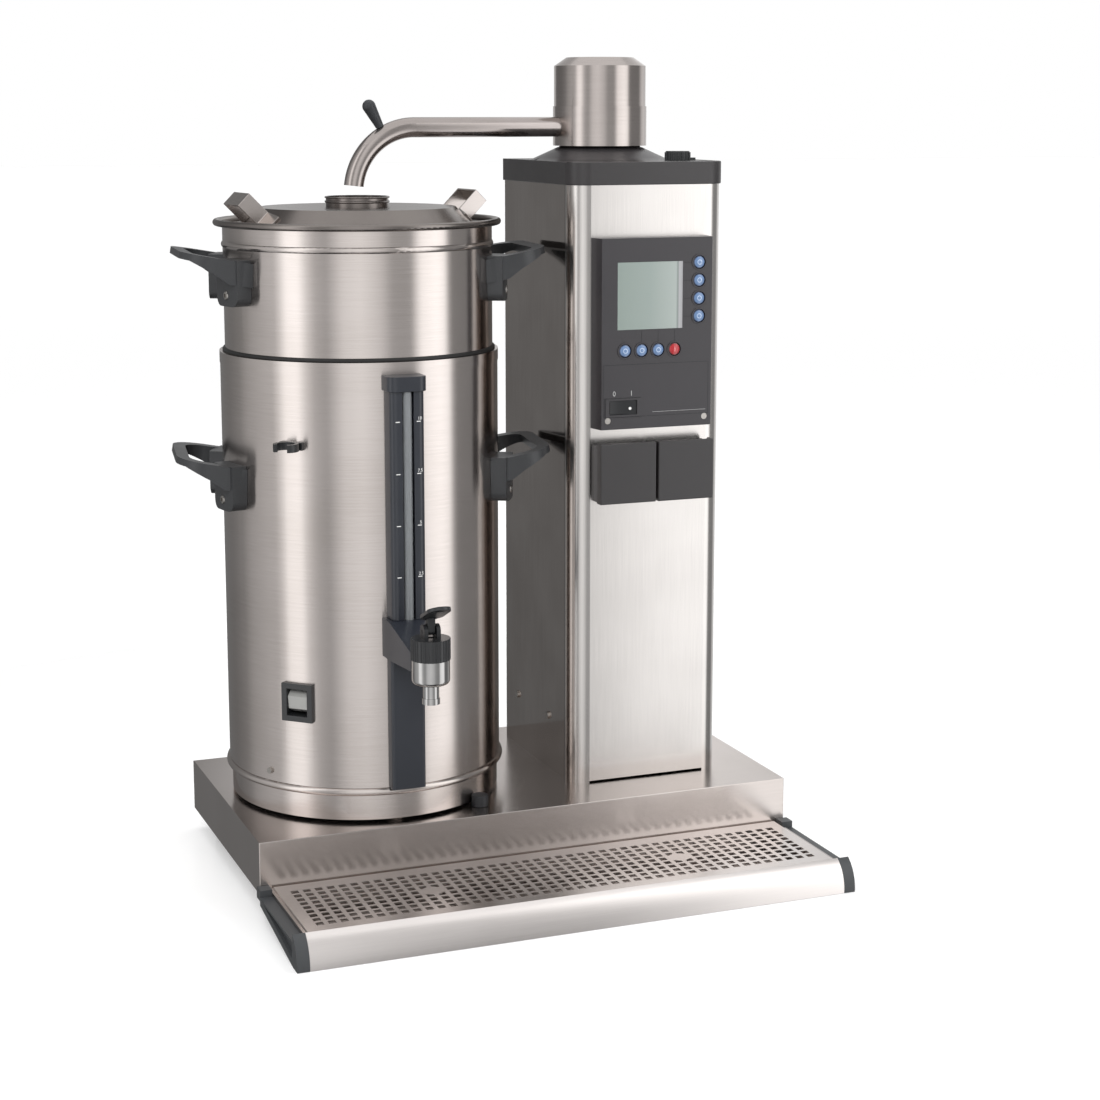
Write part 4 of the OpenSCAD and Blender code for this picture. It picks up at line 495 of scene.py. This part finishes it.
def turned(shape, profile, stand, steps=40):
    """Adds a turned form to a mesh. Its profile is (radius, height) points in millimetres, and
    stand is the matrix that takes its axis, which is +X, to its place."""
    rings = [[shape.verts.new(stand @ Vector((h * MM, r * MM * math.cos(2 * math.pi * i / steps),
                                              r * MM * math.sin(2 * math.pi * i / steps))))
              for i in range(steps)] for r, h in profile]
    for low, high in zip(rings, rings[1:]):
        for i in range(steps):
            j = (i + 1) % steps
            shape.faces.new((low[i], low[j], high[j], high[i]))
    shape.faces.new(rings[0][::-1])
    shape.faces.new(rings[-1])


lid_low, lid_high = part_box("lid_dish")
AXIS = Vector(((lid_low[0] + lid_high[0]) / 2, (lid_low[1] + lid_high[1]) / 2, 0))


def screw_heads(name, radius, height, turn, below, body):
    """Four heads on a pair of handles. radius is the wall's, and each head is a rod as long as
    below, under a dome. The urn's screws are CAD solids, so they take only the dome."""
    mesh = bpy.data.meshes.new(name)
    shape = bmesh.new()
    profile = [(HEAD_R, 0.0), (HEAD_R, below), (HEAD_R * 0.9, below + 0.7), (HEAD_R * 0.6, below + 1.0),
               (HEAD_R * 0.44, below + 1.05), (HEAD_R * 0.4, below - 0.2), (HEAD_R * 0.1, below - 0.3)]
    for side in (0, 180):
        for s in (-1, 1):
            stand = (Matrix.Translation(AXIS + Vector((0, 0, height * MM)))
                     @ Matrix.Rotation(math.radians(side + turn + s * SCREW_SIDE), 4, "Z")
                     @ Matrix.Translation(((radius + EAR_OUT - below) * MM, 0, 0)))
            turned(shape, profile, stand)
    bmesh.ops.recalc_face_normals(shape, faces=shape.faces)
    for face_of in shape.faces:
        face_of.smooth = len(face_of.verts) == 4
    shape.to_mesh(mesh)
    shape.free()
    mesh.set_sharp_from_angle(angle=math.radians(40))
    add_piece(name, mesh, screw_zinc, body)


DECK = 78.5
URN_R, URN_TURN, URN_HANDLE_UP = 146.0, -9, 365.0
BASKET_R, BASKET_TURN, BASKET_HANDLE_UP = 140.7, -6, 575.0
screw_heads("basket_handle_screws", BASKET_R, DECK + BASKET_HANDLE_UP - SCREW_DROP, BASKET_TURN,
            HEAD_LONG, "basket")
screw_heads("urn_handle_screw_faces", URN_R, DECK + URN_HANDLE_UP - SCREW_DROP, URN_TURN, FACE_LONG, "urn")

# Sight gauge
# A glass tube stands in the slot of a channel that is moulded in blue-black plastic and fixed
# to the shell. The tube is smooth and clear, and its grey is painted shade for where it bends the light.
channel_plastic = moulded("blue_black_channel", "#23262d", 0.34, 0.6 * MM, 0.015 * MM, coat=0.2)
soften("gauge_channel", channel_plastic, 0.6 * MM)
# Painted shade: the clear tube's grey tones stand in for the light it bends.
tube_glass = two_tone("borosilicate_tube", 0.0, 0.12, (0.2, 0.2, 0.3), 2.0, ("#a2a6a9", "#b4b7ba"),
                      IOR=1.47, Transmission_Weight=0.6)
paint(tube_glass, "gauge_tube")

# Gauge scale
# Pale ticks on both sides of the tube, with the litres beside them, are printed on the channel.
# The channel's corners are rounded, so the print follows the face as it turns back.
CHANNEL_HALF = 18.0
CHANNEL_ROUND = 7.0
CHANNEL_OUT = 166.5
TICK_UP = {"10": 419.0, "7.5": 366.5, "5": 314.0, "2.5": 261.6}
TICK_WIDE, TICK_HIGH, TICK_AT = 4.2, 0.9, 10.9
TICK_STEPS = 6
NUMBER_SIZE = 4.6
NUMBER_RIGHT, NUMBER_ABOVE = 1.2, 1.6
PRINT_RISE = 0.08 * MM


def channel_back(across):
    """How far the channel's face lies behind its middle there."""
    past = max(0.0, abs(across) - (CHANNEL_HALF - CHANNEL_ROUND))
    return (CHANNEL_ROUND - math.sqrt(CHANNEL_ROUND ** 2 - min(past, CHANNEL_ROUND) ** 2)) * MM


channel_face = (AXIS.x, AXIS.y - CHANNEL_OUT * MM, DECK * MM)
ticks = []
for up in TICK_UP.values():
    for step in range(TICK_STEPS):
        wide = TICK_WIDE / TICK_STEPS
        for side in (-1, 1):
            ticks.append(bar(side * TICK_AT - TICK_WIDE / 2 + (step + 0.5) * wide, up, wide, TICK_HIGH))
on_face("gauge_ticks", ticks, channel_face, PRINT_RISE, white_ink, "urn", channel_back)
for litres, up in TICK_UP.items():
    words = bpy.data.curves.new("litres", "FONT")
    words.body = litres
    words.size = NUMBER_SIZE
    words.align_x = "CENTER"
    source = bpy.data.objects.new("litres", words)
    bpy.context.scene.collection.objects.link(source)
    flat = bpy.data.meshes.new_from_object(source.evaluated_get(bpy.context.evaluated_depsgraph_get()))
    bpy.data.objects.remove(source)
    for vertex in flat.vertices:
        across, above = vertex.co.x + TICK_AT + NUMBER_RIGHT, vertex.co.y + up + NUMBER_ABOVE
        vertex.co = (channel_face[0] + across * MM, channel_face[1] - PRINT_RISE + channel_back(across),
                     channel_face[2] + above * MM)
    flat.materials.clear()
    number = add_piece("litres_" + litres.replace(".", "_"), flat, white_ink, "urn")
    thick = number.modifiers.new("ink", "SOLIDIFY")
    thick.thickness = INK_THICK
    thick.offset = 0.0

# Tap
# A chromed brass body hangs from a moulded bracket and mirrors what stands round it. Above it
# are a ribbed black bonnet with two ears, and a lever that lifts the stem.
chrome = two_tone("chrome_plate", 1.0, 0.07, (0.01, 0.01, 0.01), 2.0, ("#b2b2b2", "#c0bebc"))
paint(chrome, "tap_body")
tap_plastic = moulded("black_tap_plastic", "#1d1e20", 0.36, 0.6 * MM, 0.02 * MM, coat=0.2)
soften("tap_mount", channel_plastic, 0.8 * MM, clamp=True)
soften("tap_bonnet", tap_plastic, 0.0)
soften("tap_lever", tap_plastic, 0.9 * MM)
paint(tank_steel, "tap_stem")

# Urn switch, clip and power inlet
# The switch's frame is moulded in black, with a smoky translucent rocker. The clip, which holds
# a stirrer, and the power inlet at the back are of the same black plastic.
smoky_rocker = moulded("smoky_translucent_rocker", "#969693", 0.3, 0.6 * MM, 0.01 * MM, coat=0.4)
soften("urn_switch_frame", tap_plastic, 0.6 * MM)
soften("urn_switch_rocker", smoky_rocker, 0.3 * MM)
soften("urn_clip", tap_plastic, 0.4 * MM)
paint(tap_plastic, "urn_inlet")

# Filter basket
# The drum is drawn and beaded stainless, ground like the urn. A bright stainless insert with
# drain holes stands inside and holds the filter paper.
paint(urn_steel, "basket_drum")
paint(vessel_steel, "filter_insert")

# Dark ring
# A matt black ring lies round the foot of the drum and fills the step to the urn, so a
# dark line shows there.
DARK_RING_PROFILE = ((136.0, 476.5), (142.9, 476.5), (143.3, 477.2), (143.2, 478.6), (142.4, 479.7),
                (140.75, 480.3), (140.75, 478.45), (136.0, 478.45))
DARK_RING_STEPS = 128
dark_ring_mesh = bpy.data.meshes.new("drum_dark_ring")
dark_ring_shape = bmesh.new()
dark_ring_rings = [[dark_ring_shape.verts.new((AXIS.x + r * MM * math.cos(2 * math.pi * i / DARK_RING_STEPS),
                                     AXIS.y + r * MM * math.sin(2 * math.pi * i / DARK_RING_STEPS),
                                     (DECK + z) * MM))
               for i in range(DARK_RING_STEPS)] for r, z in DARK_RING_PROFILE]
for low, high in zip(dark_ring_rings, dark_ring_rings[1:] + dark_ring_rings[:1]):
    for i in range(DARK_RING_STEPS):
        j = (i + 1) % DARK_RING_STEPS
        dark_ring_shape.faces.new((low[i], low[j], high[j], high[i])).smooth = True
bmesh.ops.recalc_face_normals(dark_ring_shape, faces=dark_ring_shape.faces)
dark_ring_shape.to_mesh(dark_ring_mesh)
dark_ring_shape.free()
dark_ring_mesh.set_sharp_from_angle(angle=math.radians(50))
dark_ring_matt = moulded("matt_black_ring", "#131313", 0.45, 0.8 * MM, 0.03 * MM)
add_piece("drum_dark_ring", dark_ring_mesh, dark_ring_matt, "basket")

# Lid
# A spun stainless lid has a rolled rim, a gutter and a collar under the arm's outlet. Its two
# pulls are bent from stainless strap and welded on.
lid_steel = ground_steel("spun_lid_stainless", (0.05, 0.05, 0.05), roughness=0.24, stretch=0.0,
                         colours=("#827b78", "#8b8581"))
paint(lid_steel, "lid_dish")
strap_steel = ground_steel("bent_strap_stainless", (0.02, 0.02, 0.0012), roughness=0.2, stretch=0.0)
soften("lid_grips", strap_steel, 0.4 * MM)

# Drip tray
# A stainless basin with a folded front hangs on plastic rails and end caps, and a punched grid
# lies on its ledges. The front is finely ground, so it is pale all over.
tray_steel = ground_steel("bright_tray_stainless", (0.08, 0.0012, 0.0012), roughness=0.16, stretch=0.3)
grid_steel = ground_steel("punched_grid_stainless", (0.06, 0.0012, 0.0012), roughness=0.3, stretch=0.0,
                          colours=("#ddd7d4", "#ebe5e2"))
rail_plastic = moulded("grey_black_rail", "#3b3d3f", 0.42, 0.6 * MM, 0.02 * MM)
paint(tray_steel, "tray_basin")
front_steel = ground_steel("ground_stainless_tray_front", (0.08, 0.0012, 0.0012), roughness=0.3, stretch=0.0,
                           colours=("#eee8e5", "#f4eeeb"))
soften("tray_front_profile", front_steel, 0.5 * MM, clamp=True)
soften("tray_end_caps", rail_plastic, 0.8 * MM, clamp=True)
soften("drip_grid", grid_steel, 0.0)

# Table
# A pale glossy sheet, as under a product photograph. Seen by the camera or in a reflection it
# adds a little light of its own, so that it runs into the white behind.
FLOOR_SIZE = 30.0
FLOOR_GLOW = 0.315
table_mesh = bpy.data.meshes.new("table")
table_shape = bmesh.new()
bmesh.ops.create_grid(table_shape, x_segments=8, y_segments=8, size=FLOOR_SIZE)
table_shape.to_mesh(table_mesh)
table_shape.free()
table = bpy.data.objects.new("table", table_mesh)
bpy.context.scene.collection.objects.link(table)
table_paint, table_shader = start_material("pale_table", 0.0, 0.2)
path = add_node(table_paint, "ShaderNodeLightPath", {})
seen = add_node(table_paint, "ShaderNodeMath", {
    0: path.outputs["Is Camera Ray"], 1: path.outputs["Is Glossy Ray"]}, operation="MAXIMUM")
glow = add_node(table_paint, "ShaderNodeMath", {0: seen.outputs[0], 1: FLOOR_GLOW}, operation="MULTIPLY")
table_shader.inputs["Base Color"].default_value = linear("#e8e8e8")
table_shader.inputs["Emission Color"].default_value = (1, 1, 1, 1)
feed(table_paint, table_shader, Emission_Strength=glow.outputs[0])
table_mesh.materials.append(table_paint)
table.visible_glossy = False

# Light tent
# White and dark screens stand round the object, seen only in glossy surfaces. Their order was
# chosen to give the bright and dark bands that show on the steel.
TENT_RADIUS = 1.1
TENT_FOOT = -0.9
TENT_TOP = 1.9
SCREENS = [(-171, 0.17), (-142, 0.2), (-126, 0.28), (-116, 0.45), (-96, 0.62), (-88, 0.8), (-81, 1.45),
           (-71, 1.5), (-65, 0.95), (-58, 0.58), (-49, 0.47), (-36, 0.92), (-22, 1.02), (-14, 0.92),
           (-5, 0.78), (5, 0.46), (22, 0.42), (28, 1.0), (32, 1.38), (48, 1.6), (57, 1.45), (62, 0.5),
           (66, 0.27), (94, 0.24), (104, 0.7), (114, 0.8), (124, 0.6), (146, 1.0), (160, 0.62),
           (170, 0.45), (178, 0.6)]
tent_mesh = bpy.data.meshes.new("tent")
tent_shape = bmesh.new()
TENT_SIDES = 96
rings = []
for height in (TENT_FOOT, TENT_TOP):
    turns = [2 * math.pi * i / TENT_SIDES for i in range(TENT_SIDES)]
    rings.append([tent_shape.verts.new((TENT_RADIUS * math.cos(t), TENT_RADIUS * math.sin(t), height))
                  for t in turns])
for i in range(TENT_SIDES):
    j = (i + 1) % TENT_SIDES
    tent_shape.faces.new((rings[0][i], rings[1][i], rings[1][j], rings[0][j]))
tent_shape.faces.new(rings[0])
tent_shape.to_mesh(tent_mesh)
tent_shape.free()
tent = bpy.data.objects.new("tent", tent_mesh)
bpy.context.scene.collection.objects.link(tent)
tent.visible_camera = False
tent.visible_diffuse = False
tent.visible_shadow = False
tent.visible_transmission = False
screen_paint = bpy.data.materials.new("tent_screens")
screen_paint.use_nodes = True
screen_paint.node_tree.nodes.clear()
around = add_node(screen_paint, "ShaderNodeTexGradient", {
    "Vector": add_node(screen_paint, "ShaderNodeTexCoord", {}).outputs["Object"]}, gradient_type="RADIAL")
ramp = add_node(screen_paint, "ShaderNodeValToRGB", {"Fac": around.outputs["Fac"]})
stops = sorted((((angle + 90) / 360) % 1, level) for angle, level in SCREENS)
while len(ramp.color_ramp.elements) < len(stops):
    ramp.color_ramp.elements.new(0.5)
for element, (position, level) in zip(ramp.color_ramp.elements, stops):
    element.position = position
    element.color = (level / 2, level / 2, level / 2, 1)
height = add_node(screen_paint, "ShaderNodeSeparateXYZ", {
    "Vector": add_node(screen_paint, "ShaderNodeTexCoord", {}).outputs["Object"]})
rise = add_node(screen_paint, "ShaderNodeMapRange", {
    "Value": height.outputs["Z"], "From Min": -0.3, "From Max": 0.6, "To Min": 1.7, "To Max": 2.2})
lid_below = add_node(screen_paint, "ShaderNodeMath", {
    0: height.outputs["Z"], 1: TENT_FOOT + 0.001}, operation="GREATER_THAN")
skirting = add_node(screen_paint, "ShaderNodeMapRange", {
    "Value": height.outputs["Z"], "From Min": -0.65, "From Max": -0.45, "To Min": 0.35, "To Max": 1.0})
power = add_node(screen_paint, "ShaderNodeMath", {
    0: add_node(screen_paint, "ShaderNodeMath", {0: rise.outputs[0], 1: skirting.outputs[0]},
                operation="MULTIPLY").outputs[0], 1: lid_below.outputs[0]}, operation="MULTIPLY")
light = add_node(screen_paint, "ShaderNodeEmission", {
    "Color": ramp.outputs["Color"], "Strength": power.outputs[0]})
add_node(screen_paint, "ShaderNodeOutputMaterial", {"Surface": light.outputs[0]})
tent_mesh.materials.append(screen_paint)


# Lamps and background
# Large soft lamps light the plastics and the table, and aren't seen in the steel. The world is
# white where it is seen and dimmer as a light.
def lamp(name, place_at, aim, size, power):
    """A rectangular lamp that points from one place at another."""
    data = bpy.data.lights.new(name, "AREA")
    data.shape = "RECTANGLE"
    data.size, data.size_y = size
    data.energy = power
    obj = bpy.data.objects.new(name, data)
    obj.location = place_at
    obj.rotation_euler = (Vector(aim) - Vector(place_at)).to_track_quat("-Z", "Y").to_euler()
    obj.visible_glossy = False
    bpy.context.scene.collection.objects.link(obj)


lamp("key_left", (-1.6, -2.0, 2.2), (0, 0, 0.4), (1.6, 1.6), 55)
lamp("fill_right", (2.2, -1.6, 1.6), (0, 0, 0.4), (1.6, 1.6), 30)
lamp("top", (0.0, 0.4, 2.6), (0, 0, 0), (2.0, 2.0), 35)

world = bpy.data.worlds.new("white_studio")
bpy.context.scene.world = world
world.use_nodes = True
background = world.node_tree.nodes["Background"]
rays = add_node(world, "ShaderNodeLightPath", {})
camera_or_glossy = add_node(world, "ShaderNodeMath", {
    0: rays.outputs["Is Camera Ray"], 1: rays.outputs["Is Glossy Ray"]}, operation="MAXIMUM")
seen_rays = add_node(world, "ShaderNodeMath", {
    0: camera_or_glossy.outputs[0], 1: rays.outputs["Is Transmission Ray"]}, operation="MAXIMUM")
AMBIENT, SEEN_WHITE = 0.45, 1.0
strength = add_node(world, "ShaderNodeMapRange", {
    "Value": seen_rays.outputs[0], "To Min": AMBIENT, "To Max": SEEN_WHITE})
background.inputs["Color"].default_value = (1, 1, 1, 1)
world.node_tree.links.new(strength.outputs[0], background.inputs["Strength"])

# Camera
# It stands left of the front and a little above the urn, as in the photograph, with a lens
# shift that keeps the upright edges nearly parallel.
PHOTO_SIDE = 1100
FOCAL_PIXELS = 2180.3
CAMERA_AT = (-0.7719, -2.1386, 0.8013)
CAMERA_YAW = 21.522
CAMERA_PITCH = 9.704
LENS_SHIFT = -0.06
SENSOR_WIDTH = 36
camera_data = bpy.data.cameras.new("camera")
camera_data.sensor_width = SENSOR_WIDTH
camera_data.lens = FOCAL_PIXELS / PHOTO_SIDE * SENSOR_WIDTH
camera_data.shift_y = LENS_SHIFT
camera = bpy.data.objects.new("camera", camera_data)
camera.location = CAMERA_AT
camera.rotation_euler = (math.radians(90 - CAMERA_PITCH), 0, -math.radians(CAMERA_YAW))
bpy.context.scene.collection.objects.link(camera)
bpy.context.scene.camera = camera
bpy.context.scene.view_settings.view_transform = "Standard"
